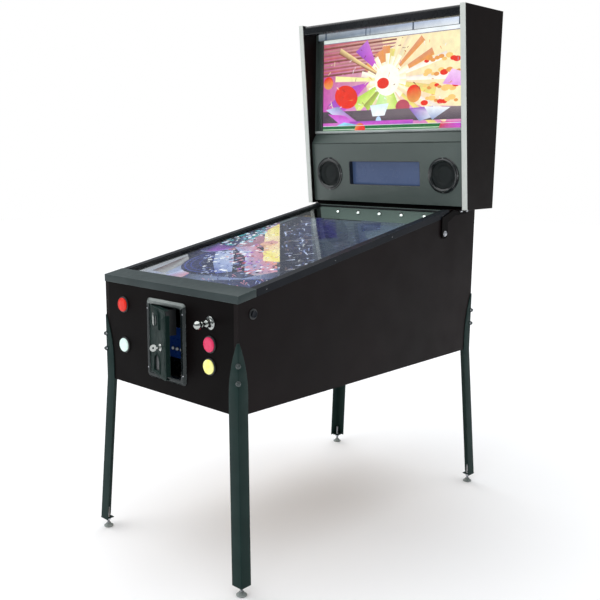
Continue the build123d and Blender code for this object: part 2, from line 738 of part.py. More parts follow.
for label, place in button_places.items():
    with BuildPart(place) as cap:
        button_cap(23.5, 6, 7, 4.6)
    save(cap, label)

for label, place in flipper_places.items():
    with BuildPart(place) as cap:
        button_cap(11, 3, 4, 5.4)
    save(cap, label)

# ==== head ====

trim_run = TRIM * hypot(HEAD_LEAN, 1)
for name, sign in (("left", -1), ("right", 1)):
    with BuildPart() as head_side:
        with BuildSketch(side(sign * HEAD_HALF)):
            with BuildLine():
                Polyline(
                    (HEAD_FRONT_LOW + trim_run, HEAD_BASE),
                    (HEAD_REAR_LOW, HEAD_BASE),
                    (HEAD_REAR_HIGH, HEAD_TOP),
                    (HEAD_FRONT_HIGH + trim_run, HEAD_TOP),
                    close=True,
                )
            make_face()
        extrude(amount=-sign * HEAD_SIDE)
    save(head_side, f"head_side_{name}")

with BuildPart() as head_edge_trim:
    run = hypot(HEAD_LEAN, 1) * HEAD_RISE
    for sign in (-1, 1):
        with BuildSketch(head_face(0)):
            with Locations((sign * (HEAD_HALF - HEAD_SIDE / 2), run / 2)):
                Rectangle(HEAD_SIDE + 1.6, run)
        extrude(amount=-TRIM)
    up_the_edge = Axis((0, 0, 0), head_face(0).y_dir)
    outer_edges = outer_faces(head_edge_trim, head_face(0), 2).edges()
    fillet(outer_edges.filter_by(up_the_edge), radius=1.2)
save(head_edge_trim, "head_edge_trim")

with BuildPart(CABINET) as head_top:
    block((-HEAD_INNER, 1112, HEAD_TOP - PANEL), (HEAD_INNER, 1322, HEAD_TOP))
save(head_top, "head_top")

with BuildPart(CABINET) as head_bottom:
    block((-HEAD_INNER, PANEL_FOOT + 13, HEAD_BASE), (HEAD_INNER, 1322, HEAD_BASE + PANEL))
    with Locations((0, 1250, HEAD_BASE)):
        Cylinder(36, 100, mode=Mode.SUBTRACT)
save(head_bottom, "head_bottom")

with BuildPart() as head_back_panel:
    with BuildSketch(front(1334)):
        with Locations((0, (HEAD_BASE + HEAD_TOP) / 2)):
            Rectangle(2 * HEAD_INNER, HEAD_RISE)
        with Locations((0, HEAD_TOP - 90)), GridLocations(44, 60, 11, 2):
            SlotOverall(46, 8, rotation=90, mode=Mode.SUBTRACT)
    extrude(amount=12)
save(head_back_panel, "head_back_panel")

with BuildPart() as head_valance:
    half = HEAD_INNER - 1
    with BuildSketch(side(-half)):
        depth, low, high = head_front(1870) + 4, 1856, 1893
        with Locations((depth + 16, (low + high) / 2)):
            Rectangle(32, high - low)
    extrude(amount=2 * half)
    nose = head_valance.edges().filter_by(Axis.X).group_by(Axis.Y)[0].sort_by(Axis.Z)
    fillet(nose[-1], radius=12)
    fillet(head_valance.edges().filter_by(Axis.X).group_by(Axis.Y)[0].sort_by(Axis.Z)[0], radius=5)
save(head_valance, "head_valance")

ARM_FACE = HALF + 2.6
with BuildPart(CABINET) as head_hinge_arms:
    for sign in (-1, 1):
        with BuildSketch(side(sign * ARM_FACE)):
            with BuildLine():
                Polyline(
                    (PIVOT_DEPTH - 20, PIVOT_HEIGHT),
                    (PIVOT_DEPTH - 20, PIVOT_HEIGHT + 62),
                    (PIVOT_DEPTH + 62, HEAD_BASE),
                    (PIVOT_DEPTH + 150, HEAD_BASE),
                    (PIVOT_DEPTH + 150, HEAD_BASE - 20),
                    (PIVOT_DEPTH + 66, HEAD_BASE - 24),
                    (PIVOT_DEPTH + 20, PIVOT_HEIGHT + 40),
                    (PIVOT_DEPTH + 20, PIVOT_HEIGHT),
                    close=True,
                )
            make_face()
            with Locations((PIVOT_DEPTH, PIVOT_HEIGHT)):
                Circle(20)
                Circle(6.08, mode=Mode.SUBTRACT)
        extrude(amount=sign * 4)
        near, far = sorted((sign * ARM_FACE, sign * (ARM_FACE + 34)))
        start, end = PIVOT_DEPTH + 70, PIVOT_DEPTH + 150
        block((near, start, HEAD_BASE - 4), (far, end, HEAD_BASE))
save(head_hinge_arms, "head_hinge_arms")

MONITOR_CASE = 16
monitor_low = MONITOR_MIDDLE - MONITOR_HEIGHT / 2
monitor_high = MONITOR_MIDDLE + MONITOR_HEIGHT / 2
with BuildPart(CABINET) as backglass_screen:
    half = MONITOR_WIDTH / 2
    back = MONITOR_DEPTH + MONITOR_CASE
    block((-half, MONITOR_DEPTH, monitor_low), (half, back, monitor_high))
    block((-150, back, monitor_low + 40), (150, back + 28, monitor_high - 100))
    half = PICTURE_WIDTH / 2
    low, high = MONITOR_MIDDLE - PICTURE_HEIGHT / 2, MONITOR_MIDDLE + PICTURE_HEIGHT / 2
    block((-half, MONITOR_DEPTH - 1, low), (half, MONITOR_DEPTH + 1.5, high), mode=Mode.SUBTRACT)
save(backglass_screen, "backglass_screen")

LEDGE_LOW, LEDGE_HIGH = 1407, 1448
with BuildPart(CABINET) as backglass_surround:
    face, back = MONITOR_DEPTH - 9, MONITOR_DEPTH - 0.5
    block((-HEAD_INNER, face, LEDGE_HIGH - 4), (HEAD_INNER, back, HEAD_TOP - PANEL))
    half = PICTURE_WIDTH / 2 - 4
    block(
        (-half, face - 5, MONITOR_MIDDLE - PICTURE_HEIGHT / 2 + 4),
        (half, back + 5, MONITOR_MIDDLE + PICTURE_HEIGHT / 2 - 4),
        mode=Mode.SUBTRACT,
    )
    with BuildSketch(side(-HEAD_INNER)):
        lip_depth = head_front(LEDGE_LOW) + PANEL_SETBACK + 1
        with BuildLine():
            Polyline(
                (lip_depth, LEDGE_LOW - 0.5),
                (lip_depth, LEDGE_LOW + 3.5),
                (face, LEDGE_HIGH),
                (back, LEDGE_HIGH),
                (back, LEDGE_HIGH - 8),
                (lip_depth + 6, LEDGE_LOW - 0.5),
                close=True,
            )
        make_face()
    extrude(amount=2 * HEAD_INNER)
save(backglass_surround, "backglass_surround")

# The speaker panel lies along the head's leaning front, set back between the side panels.
SPEAKER_X, SPEAKER_UP, SPEAKER_RADIUS = 286, 130, 54
WINDOW_WIDTH, WINDOW_LOW, WINDOW_HIGH = 358, 83.5, 184
SCORE_RECESS = 11
with BuildPart() as speaker_panel:
    with BuildSketch(head_face(PANEL_SETBACK)):
        with Locations((0, 134)):
            Rectangle(2 * HEAD_INNER, 244)
        with Locations((0, (WINDOW_LOW + WINDOW_HIGH) / 2)):
            RectangleRounded(WINDOW_WIDTH, WINDOW_HIGH - WINDOW_LOW, 7, mode=Mode.SUBTRACT)
        with Locations((-SPEAKER_X, SPEAKER_UP), (SPEAKER_X, SPEAKER_UP)):
            Circle(SPEAKER_RADIUS, mode=Mode.SUBTRACT)
    extrude(amount=-12)
save(speaker_panel, "speaker_panel")

with BuildPart() as speaker_grilles:
    with BuildSketch(head_face(PANEL_SETBACK)):
        with Locations((-SPEAKER_X, SPEAKER_UP), (SPEAKER_X, SPEAKER_UP)):
            Circle(70)
            Circle(SPEAKER_RADIUS - 1, mode=Mode.SUBTRACT)
    extrude(amount=5.5)
    chamfer(speaker_grilles.faces().group_by(Axis.Y)[0].edges(), length=2)
    with BuildSketch(head_face(PANEL_SETBACK)):
        with Locations((-SPEAKER_X, SPEAKER_UP), (SPEAKER_X, SPEAKER_UP)):
            Circle(SPEAKER_RADIUS - 0.5)
    extrude(amount=2)
save(speaker_grilles, "speaker_grilles")

with BuildPart() as speaker_drivers:
    back_of_panel = head_face(PANEL_SETBACK).offset(-12)
    with BuildSketch(back_of_panel):
        with Locations((-SPEAKER_X, SPEAKER_UP), (SPEAKER_X, SPEAKER_UP)):
            Circle(64)
    extrude(amount=-4)
    with BuildSketch(back_of_panel.offset(-4)):
        with Locations((-SPEAKER_X, SPEAKER_UP), (SPEAKER_X, SPEAKER_UP)):
            Circle(48)
    extrude(amount=-34, taper=20)
    with BuildSketch(back_of_panel.offset(-38)):
        with Locations((-SPEAKER_X, SPEAKER_UP), (SPEAKER_X, SPEAKER_UP)):
            Circle(36)
    extrude(amount=-18)
save(speaker_drivers, "speaker_drivers")

with BuildPart() as score_display:
    with BuildSketch(head_face(PANEL_SETBACK).offset(-12)):
        with Locations((0, (WINDOW_LOW + WINDOW_HIGH) / 2)):
            Rectangle(WINDOW_WIDTH + 20, WINDOW_HIGH - WINDOW_LOW + 16)
    extrude(amount=-26)
    with BuildSketch(head_face(PANEL_SETBACK).offset(-12)):
        with Locations((0, (WINDOW_LOW + WINDOW_HIGH) / 2)):
            Rectangle(WINDOW_WIDTH, WINDOW_HIGH - WINDOW_LOW)
    extrude(amount=-SCORE_RECESS, mode=Mode.SUBTRACT)
save(score_display, "score_display")
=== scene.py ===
import json
import random
from math import atan, cos, pi, radians, sin

import bmesh
import bpy
from mathutils import Matrix, Vector
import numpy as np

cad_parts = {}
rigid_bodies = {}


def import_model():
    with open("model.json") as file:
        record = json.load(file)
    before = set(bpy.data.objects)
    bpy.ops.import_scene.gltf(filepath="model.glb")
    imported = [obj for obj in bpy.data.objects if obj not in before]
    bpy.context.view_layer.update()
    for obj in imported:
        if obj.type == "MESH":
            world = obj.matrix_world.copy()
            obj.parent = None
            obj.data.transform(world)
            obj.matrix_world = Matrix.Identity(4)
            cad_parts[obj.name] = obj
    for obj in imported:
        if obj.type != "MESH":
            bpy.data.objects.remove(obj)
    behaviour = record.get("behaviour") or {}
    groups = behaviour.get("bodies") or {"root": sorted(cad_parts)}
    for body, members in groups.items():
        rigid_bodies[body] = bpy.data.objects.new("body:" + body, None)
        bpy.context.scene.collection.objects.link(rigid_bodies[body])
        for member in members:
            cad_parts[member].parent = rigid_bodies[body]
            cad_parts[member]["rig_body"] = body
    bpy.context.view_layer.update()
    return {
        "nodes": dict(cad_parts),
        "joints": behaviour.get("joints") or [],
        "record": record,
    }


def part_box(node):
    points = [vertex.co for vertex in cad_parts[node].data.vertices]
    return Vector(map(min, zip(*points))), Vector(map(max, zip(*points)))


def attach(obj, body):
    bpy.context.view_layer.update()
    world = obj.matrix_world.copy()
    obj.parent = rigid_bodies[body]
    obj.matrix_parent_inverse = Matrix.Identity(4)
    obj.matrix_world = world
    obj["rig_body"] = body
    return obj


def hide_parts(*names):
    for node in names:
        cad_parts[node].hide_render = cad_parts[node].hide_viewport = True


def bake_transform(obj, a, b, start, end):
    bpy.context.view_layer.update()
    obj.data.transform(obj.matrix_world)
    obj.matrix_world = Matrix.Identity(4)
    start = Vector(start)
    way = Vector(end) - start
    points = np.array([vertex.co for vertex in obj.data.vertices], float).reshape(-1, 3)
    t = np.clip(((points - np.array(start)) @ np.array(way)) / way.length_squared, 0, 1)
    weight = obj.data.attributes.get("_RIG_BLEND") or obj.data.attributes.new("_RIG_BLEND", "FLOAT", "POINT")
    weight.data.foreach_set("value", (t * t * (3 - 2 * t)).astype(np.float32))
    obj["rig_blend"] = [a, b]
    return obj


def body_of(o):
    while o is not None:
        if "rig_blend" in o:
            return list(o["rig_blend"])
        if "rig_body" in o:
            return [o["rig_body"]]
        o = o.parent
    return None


# A screen-type pinball machine. Metres, +Z up, +X to the player's right, +Y away from the player.

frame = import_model()
NODES = frame["nodes"]
SLOTS = {part["node"]: part["material_slot"] for part in frame["record"]["subparts"]}
JOINTS = {joint["name"]: joint for joint in frame["joints"]}
BODIES = {node: body_of(shown)[0] for node, shown in NODES.items()}

MM = 0.001
FRONT_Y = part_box("cabinet_front_panel")[0].y
DECK_TILT = radians(10.3)
HEAD_TILT = radians(90) + atan(77 / 746)
DOOR_AJAR = radians(20)
ROUND = 48
IN_PLACE = Matrix.Identity(4)
RIGHT, BACK, UP = Vector((1, 0, 0)), Vector((0, 1, 0)), Vector((0, 0, 1))
CORNERS = ((-1, -1), (-1, 1), (1, -1), (1, 1))

# ---- places taken from the frame ----


def middle(node):
    low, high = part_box(node)
    return (low + high) / 2


def size(node):
    low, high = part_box(node)
    return high - low


def basis(across, up, out, origin):
    """A frame with its X, Y and Z along three directions."""
    matrix = Matrix((across, up, out)).transposed().to_4x4()
    matrix.translation = origin
    return matrix


def plate(node, tilt):
    """The outer face of a flat plate that runs up at a tilt: its frame, and its width and
    length in millimetres."""
    extent = size(node)
    level, steep = abs(cos(tilt)), abs(sin(tilt))
    spread = level * level - steep * steep
    length = (extent.y * level - extent.z * steep) / spread
    thickness = (extent.z * level - extent.y * steep) / spread
    along = Vector((0, cos(tilt), sin(tilt)))
    out = Vector((0, -sin(tilt), cos(tilt)))
    face = basis(RIGHT, along, out, middle(node) + out * thickness / 2)
    return face, extent.x / MM, length / MM


def facing_front(place):
    """A frame whose Z points at the player and whose Y points up."""
    return basis(RIGHT, UP, -BACK, place)


def facing_side(place, sign):
    """A frame whose Z points out of the cabinet's left (-1) or right (1) side."""
    return basis(BACK * sign, UP, RIGHT * sign, place)


def facing_back(place):
    """A frame whose Z points away from the player and whose Y points up."""
    return basis(-RIGHT, UP, BACK, place)


def shifted(x, y, z):
    """A move in millimetres."""
    return Matrix.Translation(Vector((x, y, z)) * MM)


# ---- shapes ----


def arc(centre, radius, start, end, steps):
    """Points along a circle, angles in degrees."""
    points = []
    for step in range(steps + 1):
        angle = radians(start + (end - start) * step / steps)
        points.append((centre[0] + radius * cos(angle), centre[1] + radius * sin(angle)))
    return points


def rounded_rectangle(width, height, radius, steps=6):
    """The corners of a rectangle, rounded, as an outline about the origin."""
    x, y = width / 2 - radius, height / 2 - radius
    outline = []
    for centre, start in (((x, y), 0), ((-x, y), 90), ((-x, -y), 180), ((x, -y), 270)):
        outline += arc(centre, radius, start, start + 90, steps)
    return outline


def inset(outline, amount):
    """An outline with each of its corners moved inwards."""
    moved = []
    for before, here, after in zip(outline[-1:] + outline, outline, outline[1:] + outline[:1]):
        before, here, after = Vector(before), Vector(here), Vector(after)
        leaving, coming = (after - here).normalized(), (here - before).normalized()
        inwards = Vector((-(leaving.y + coming.y), leaving.x + coming.x)).normalized()
        moved.append(here + inwards * amount)
    return moved


class Shape:
    """A mesh of turned, drawn and swept parts, in millimetres, each in one of its materials."""

    def __init__(self):
        self.bm = bmesh.new()

    def face(self, corners, material=0):
        self.bm.faces.new(corners).material_index = material

    def ring(self, points, place):
        return [self.bm.verts.new(place @ (Vector(point) * MM)) for point in points]

    def skin(self, rings, material):
        """Faces between neighbouring rings. A ring of one point closes a turned end."""
        for lower, upper in zip(rings, rings[1:]):
            count = max(len(lower), len(upper))
            for step in range(count if count > 1 else 0):
                after = (step + 1) % count
                corners = (lower[step % len(lower)], lower[after % len(lower)],
                    upper[after % len(upper)], upper[step % len(upper)])
                self.face(tuple(dict.fromkeys(corners)), material)

    def lathe(self, profile, place, material=0, segments=ROUND):
        """Turns (radius, height) points about the Z of a frame."""
        turns = [2 * pi * step / segments for step in range(segments)]
        rings = []
        for radius, height in profile:
            around = turns if radius > 1e-4 else turns[:1]
            rings.append(self.ring([(radius * cos(turn), radius * sin(turn),
                height) for turn in around], place))
        self.skin(rings, material)

    def slab(self, outline, bottom, top, place, material=0, ease=0.0):
        """An outline drawn up from one height to another, its top edge eased."""
        levels = [(bottom, 0.0), (top - ease, 0.0)]
        if ease:
            levels += [(top - ease * 0.3, ease * 0.3), (top, ease)]
        rings = [self.ring([(*point, height) for point in inset(outline, amount)], place) for height,
            amount in levels]
        self.face(rings[0][::-1], material)
        self.skin(rings, material)
        self.face(rings[-1], material)

    def frame_slab(self, outer, inner, bottom, top, place, material=0, ease=0.0):
        """A slab with a hole: two outlines with the same number of points."""
        centre = sum((Vector(point) for point in outer), Vector((0, 0))) / len(outer)
        loops = ((inner, bottom, 0), (outer, bottom, 0), (outer, top - ease, 0), (outer, top, ease),
            (inner, top, -ease), (inner, top - ease, 0), (inner, bottom, 0))
        rings = []
        for outline, height, amount in loops:
            moved = [Vector(p) + (centre - Vector(p)).normalized() * amount for p in outline]
            rings.append(self.ring([(*point, height) for point in moved], place))
        self.skin(rings, material)

    def box(self, low, high, place=IN_PLACE, material=0, ease=0.4):
        """A block with eased edges."""
        before = set(self.bm.faces)
        made = bmesh.ops.create_cube(self.bm, size=1)["verts"]
        low, high = Vector(low) * MM, Vector(high) * MM
        fitted = Matrix.Translation((low + high) / 2) @ Matrix.Diagonal(high - low).to_4x4()
        bmesh.ops.transform(self.bm, matrix=place @ fitted, verts=made)
        edges = list({edge for vert in made for edge in vert.link_edges})
        rounded(self.bm, edges, ease * MM, 2)
        for face in set(self.bm.faces) - before:
            face.material_index = material

    def tube(self, points, radius, material=0, sides=10, closed=False, place=IN_PLACE):
        """A round bar along a line of points."""
        points = [place @ (Vector(point) * MM) for point in points]
        rings = []
        normal = None
        for step, here in enumerate(points):
            before = points[step - 1] if step or closed else here
            after = (points + points[:1])[step + 1] if step < len(points) - 1 or closed else here
            along = (after - before).normalized()
            normal = normal or along.orthogonal()
            normal = (normal - along * normal.dot(along)).normalized()
            across = along.cross(normal)
            ring = []
            for side in range(sides):
                angle = 2 * pi * side / sides
                offset = (normal * cos(angle) + across * sin(angle)) * (radius * MM)
                ring.append(self.bm.verts.new(here + offset))
            rings.append(ring)
        self.skin(rings, material)
        if closed:
            self.skin((rings[-1], rings[0]), material)
        else:
            self.face(rings[0][::-1], material)
            self.face(rings[-1], material)

    def piece(self, name, body, slot, materials, stands_for=(), sharp=32):
        """The finished shape as a piece that rides on a body."""
        bmesh.ops.recalc_face_normals(self.bm, faces=self.bm.faces)
        mark_edges(self.bm, sharp)
        mesh = bpy.data.meshes.new(name)
        self.bm.to_mesh(mesh)
        self.bm.free()
        return place_piece(name, mesh, body, materials, stands_for)


def rounded(bm, edges, width, segments):
    return bmesh.ops.bevel(bm, geom=edges, offset=width, segments=segments, profile=0.5, affect="EDGES",
        clamp_overlap=True)["faces"]


def mark_edges(bm, sharp):
    """Smooth faces, with the edges over an angle kept sharp."""
    for face in bm.faces:
        face.smooth = True
    for edge in bm.edges:
        edge.smooth = len(edge.link_faces) == 2 and edge.calc_face_angle(0) < radians(sharp)


def in_scene(name, data):
    """A new object in the scene."""
    made = bpy.data.objects.new(name, data)
    bpy.context.scene.collection.objects.link(made)
    return made


def place_piece(name, mesh, body, materials, stands_for=()):
    shown = in_scene(name, mesh)
    for material in materials:
        mesh.materials.append(material)
    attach(shown, body)
    if stands_for:
        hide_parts(*stands_for)
    return shown


def bends(face, bevels):
    """Whether a face is one strip of a curved surface."""
    return any(
        len(edge.link_faces) == 2
        and 0.02 < edge.calc_face_angle(0) < radians(35)
        and not bevels.intersection(edge.link_faces)
        for edge in face.edges
    )


def eased(node, material, width):
    """Stands for a CAD piece with the same shape, its sharp edges eased as on the real thing."""
    bm = bmesh.new()
    bm.from_mesh(NODES[node].data)
    bmesh.ops.remove_doubles(bm, verts=bm.verts, dist=1e-6)
    bmesh.ops.dissolve_limit(bm, angle_limit=radians(0.5), verts=bm.verts, edges=bm.edges)
    bmesh.ops.dissolve_degenerate(bm, edges=bm.edges, dist=1e-6)
    layer = bm.faces.layers.int.new("flat")
    edges = [e for e in bm.edges if e.is_manifold and e.calc_face_angle(0) > radians(35)]
    bevels = set(rounded(bm, edges, width, 2))
    flat = [face for face in bm.faces if face not in bevels and not bends(face, bevels)]
    for face in flat:
        face[layer] = 1
    bmesh.ops.triangulate(bm, faces=[face for face in bm.faces if len(face.verts) > 4])
    for face in bm.faces:
        face.material_index = 0
    mark_edges(bm, 40)
    for face in bm.faces:
        face.smooth = not face[layer]
    bm.faces.layers.int.remove(layer)
    mesh = bpy.data.meshes.new(node + "_eased")
    bm.to_mesh(mesh)
    bm.free()
    return place_piece(mesh.name, mesh, BODIES[node], [material], [node])


def dress(node, material):
    """A carried-over CAD piece in a material of its own."""
    shown = NODES[node]
    if not shown.material_slots:
        shown.data.materials.append(material)
    for slot in shown.material_slots:
        slot.material = material

# ---- materials ----


def link(tree, start, end):
    tree.links.new(start, end)


def add_node(tree, kind, **settings):
    made = tree.nodes.new("ShaderNode" + kind)
    for key, value in settings.items():
        setattr(made, key, value)
    return made


def put(node, **values):
    """Values for a node's inputs, by their names with _ for a space."""
    for name, value in values.items():
        node.inputs[name.replace("_", " ")].default_value = value


def noise(tree, scale, detail=3, stretch=(1, 1, 1)):
    """Noise that stays on the object, from 0 to 1."""
    coords = add_node(tree, "TexCoord")
    mapping = add_node(tree, "Mapping")
    put(mapping, Scale=stretch)
    texture = add_node(tree, "TexNoise")
    put(texture, Scale=scale, Detail=detail)
    link(tree, coords.outputs["Object"], mapping.inputs["Vector"])
    link(tree, mapping.outputs["Vector"], texture.inputs["Vector"])
    return texture.outputs["Fac"]


def remap(tree, value, start, end, low, high):
    ranged = add_node(tree, "MapRange")
    put(ranged, From_Min=start, From_Max=end, To_Min=low, To_Max=high)
    link(tree, value, ranged.inputs["Value"])
    return ranged.outputs["Result"]


def mix_colours(tree, factor, first, second):
    """Two colours, or a colour socket and a colour, mixed by a factor."""
    mixed = add_node(tree, "Mix", data_type="RGBA")
    link(tree, factor, mixed.inputs["Factor"])
    for name, colour in (("A", first), ("B", second)):
        socket = [s for s in mixed.inputs if s.name == name and s.type == "RGBA"][0]
        if isinstance(colour, tuple):
            socket.default_value = (*colour, 1)
        else:
            link(tree, colour, socket)
    return [s for s in mixed.outputs if s.type == "RGBA"][0]


def edge_mask(tree, width):
    """From 0 on flat faces to 1 on the edges, where a finish rubs through."""
    bevel = add_node(tree, "Bevel", samples=4)
    put(bevel, Radius=width)
    flat = add_node(tree, "NewGeometry")
    dot = add_node(tree, "VectorMath", operation="DOT_PRODUCT")
    link(tree, bevel.outputs["Normal"], dot.inputs[0])
    link(tree, flat.outputs["Normal"], dot.inputs[1])
    return remap(tree, dot.outputs["Value"], 0.99, 0.86, 0, 1)


def new_material(name):
    material = bpy.data.materials.new(name)
    material.use_nodes = True
    return material, material.node_tree, material.node_tree.nodes["Principled BSDF"]


def bumped(tree, shader, depth, grain, detail, stretch=(1, 1, 1)):
    """A fine grain, its depth in millimetres."""
    bump = add_node(tree, "Bump")
    put(bump, Distance=depth * MM)
    link(tree, noise(tree, grain, detail, stretch), bump.inputs["Height"])
    link(tree, bump.outputs["Normal"], shader.inputs["Normal"])


def surface(
    name, colour, second, patch, roughness, grain=900, depth=0.03, stretch=(1, 1, 1), metal=0.0,
    grain_stretch=(1, 1, 1), worn=None, worn_width=1.2, coat=0.0, glow=0.0, sheen_level=0.5,
):
    """A surface whose colour, roughness and grain vary over it, with rubbed edges if worn.
    The grain's depth and the worn edge's width are in millimetres."""
    material, tree, shader = new_material(name)
    second = second or tuple(part * 0.72 for part in colour)
    drift = remap(tree, noise(tree, patch, 4, stretch), 0.34, 0.66, 0, 1)
    tone = mix_colours(tree, drift, colour, second)
    if worn:
        rub = add_node(tree, "Math", operation="MULTIPLY")
        link(tree, edge_mask(tree, worn_width * MM), rub.inputs[0])
        link(tree, remap(tree, noise(tree, 60, 3), 0.42, 0.62, 0.15, 0.9), rub.inputs[1])
        tone = mix_colours(tree, rub.outputs["Value"], tone, worn)
    link(tree, tone, shader.inputs["Base Color"])
    smear = noise(tree, patch * 4.3, 3, stretch)
    link(tree, remap(tree, smear, 0.3, 0.7, *roughness), shader.inputs["Roughness"])
    bumped(tree, shader, depth, grain, 2, grain_stretch)
    put(shader, Metallic=metal, Coat_Weight=coat, Coat_Roughness=0.12, Specular_IOR_Level=sheen_level)
    if glow:
        link(tree, tone, shader.inputs["Emission Color"])
        put(shader, Emission_Strength=glow)
    return material


def see_through(name, tint, roughness, index=1.46):
    """Clear glass or plastic with a faint smear."""
    material, tree, shader = new_material(name)
    put(shader, Transmission_Weight=1, IOR=index, Specular_IOR_Level=0.12)
    drift = remap(tree, noise(tree, 5, 3), 0.3, 0.7, 0, 1)
    paler = tuple(min(1.0, part * 1.02) for part in tint)
    link(tree, mix_colours(tree, drift, tint, paler), shader.inputs["Base Color"])
    smear = remap(tree, noise(tree, 18, 3), 0.35, 0.7, roughness * 0.5, roughness * 1.6)
    link(tree, smear, shader.inputs["Roughness"])
    return material


def lit_picture(name, glow):
    """A picture whose colours are painted on its mesh, lit from behind and faintly lined."""
    material, tree, shader = new_material(name)
    painted = add_node(tree, "VertexColor", layer_name="paint")
    drift = remap(tree, noise(tree, 40, 4), 0.3, 0.7, 0.0, 0.16)
    tone = mix_colours(tree, drift, painted.outputs["Color"], (0.03, 0.025, 0.05))
    printed = add_node(tree, "VectorMath", operation="SCALE")
    put(printed, Scale=0.12)
    link(tree, tone, printed.inputs[0])
    link(tree, printed.outputs["Vector"], shader.inputs["Base Color"])
    link(tree, tone, shader.inputs["Emission Color"])
    put(shader, Emission_Strength=glow, Specular_IOR_Level=0.2)
    smear = remap(tree, noise(tree, 25, 3), 0.3, 0.7, 0.2, 0.35)
    link(tree, smear, shader.inputs["Roughness"])
    bumped(tree, shader, 0.02, 1500, 1)
    return material


# The black board in two copies: this darker one on the front and most other parts, and a lighter one on the
# cabinet sides. The difference is painted shade on the front panel and painted light on the sides.
SATIN_BLACK = surface("satin_black_board", (0.0022, 0.0016, 0.0016), (0.0034, 0.0021, 0.0021), 2.2,
    (0.38, 0.5), 520, 0.04, worn=(0.018, 0.015, 0.014), sheen_level=0.05)
SIDE_BLACK_PAINTED_LIGHT = surface("side_black_board_painted_light", (0.0075, 0.0052, 0.0054), (0.0105, 0.0068, 0.007), 2.0,
    (0.36, 0.48), 500, 0.04, worn=(0.03, 0.025, 0.024), sheen_level=0.08)
BROWN_BLACK = surface("brown_black_board", (0.0075, 0.005, 0.0046), (0.0095, 0.0062, 0.0056), 2.6,
    (0.36, 0.5), 480, 0.04, worn=(0.05, 0.042, 0.038), sheen_level=0.1)
VALANCE_BLACK = surface("valance_black", (0.01, 0.012, 0.015), None, 9, (0.22, 0.34), 700, 0.02,
    worn=(0.04, 0.045, 0.05), sheen_level=0.3)
BARE_BOARD = surface("bare_board", (0.42, 0.29, 0.165), (0.3, 0.19, 0.1), 9, (0.55, 0.75), 260, 0.1,
    stretch=(1, 0.08, 1), grain_stretch=(1, 0.06, 1), worn=(0.5, 0.38, 0.24))
LEG_STEEL = surface("leg_powder_coat", (0.011, 0.027, 0.0245), (0.015, 0.034, 0.031), 11, (0.34, 0.46),
    1300, worn=(0.1, 0.13, 0.125), sheen_level=0.1, worn_width=1.4)
BAR_METAL = surface("bar_powder_coat", (0.036, 0.05, 0.051), (0.046, 0.062, 0.063), 8, (0.34, 0.44),
    1200, sheen_level=0.12, worn=(0.2, 0.23, 0.23), worn_width=1.6)
RAIL_METAL = surface("rail_powder_coat", (0.007, 0.009, 0.013), (0.011, 0.013, 0.018), 6, (0.3, 0.42),
    1200, 0.02, sheen_level=0.12, worn=(0.06, 0.07, 0.08))
ZINC = surface("zinc_plate", (0.56, 0.57, 0.6), (0.44, 0.46, 0.5), 30, (0.24, 0.42), 700, metal=1.0,
    grain_stretch=(1, 0.15, 1), worn=(0.75, 0.75, 0.77))
DARK_ZINC = surface("blackened_steel", (0.075, 0.09, 0.09), (0.055, 0.068, 0.068), 40, (0.28, 0.42),
    800, 0.02, metal=0.6, worn=(0.3, 0.32, 0.32))
CHROME = surface("chrome", (0.46, 0.48, 0.46), (0.36, 0.38, 0.37), 40, (0.05, 0.14), 400, 0.006,
    metal=1.0)
DARK_CHROME = surface("smoked_chrome", (0.2, 0.21, 0.22), (0.14, 0.15, 0.16), 60, (0.1, 0.22), 500,
    0.01, metal=1.0, worn=(0.6, 0.6, 0.62), worn_width=0.8)
BLACK_PLASTIC = surface("moulded_black", (0.017, 0.019, 0.021), (0.024, 0.027, 0.029), 24, (0.3, 0.48),
    1400, 0.04, worn=(0.06, 0.065, 0.07))
GRILLE_BLACK = surface("grille_black", (0.022, 0.032, 0.032), (0.034, 0.046, 0.045), 20, (0.34, 0.5),
    1500, 0.02, metal=0.4)
GREY_PANEL = surface("satin_grey_panel", (0.08, 0.108, 0.098), (0.094, 0.124, 0.113), 4.5, (0.3, 0.4),
    1100, worn=(0.2, 0.23, 0.22), coat=0.15)
# The flasher panel glows evenly though it is no lamp: painted light.
PANEL_PAINTED_GLOW = surface("flasher_panel_painted_glow", (0.085, 0.12, 0.108), (0.105, 0.142, 0.128), 6, (0.32, 0.44),
    1100, worn=(0.2, 0.23, 0.22), glow=0.95)
PALE_TRIM = surface("pale_edging", (0.8, 0.83, 0.78), (0.7, 0.74, 0.7), 14, (0.2, 0.32), 900, 0.01,
    stretch=(1, 1, 0.2), worn=(0.9, 0.9, 0.86))
DOOR_STEEL = surface("door_powder_coat", (0.006, 0.018, 0.0155), (0.0085, 0.023, 0.02), 16,
    (0.36, 0.48), 1100, 0.04, sheen_level=0.06, worn=(0.1, 0.13, 0.125), worn_width=1.6)
FRAME_STEEL = surface("frame_powder_coat", (0.013, 0.019, 0.02), (0.01, 0.015, 0.016), 18, (0.24, 0.36),
    1000, metal=0.35, worn=(0.16, 0.18, 0.18), worn_width=2.5)
# A paler steel for the top of the door frame: a painted highlight, with rubbed edges.
TOP_HIGHLIGHT_STEEL = surface("painted_highlight_steel", (0.21, 0.235, 0.225), (0.13, 0.15, 0.145), 22, (0.3, 0.44),
    metal=0.4, worn=(0.5, 0.52, 0.5))
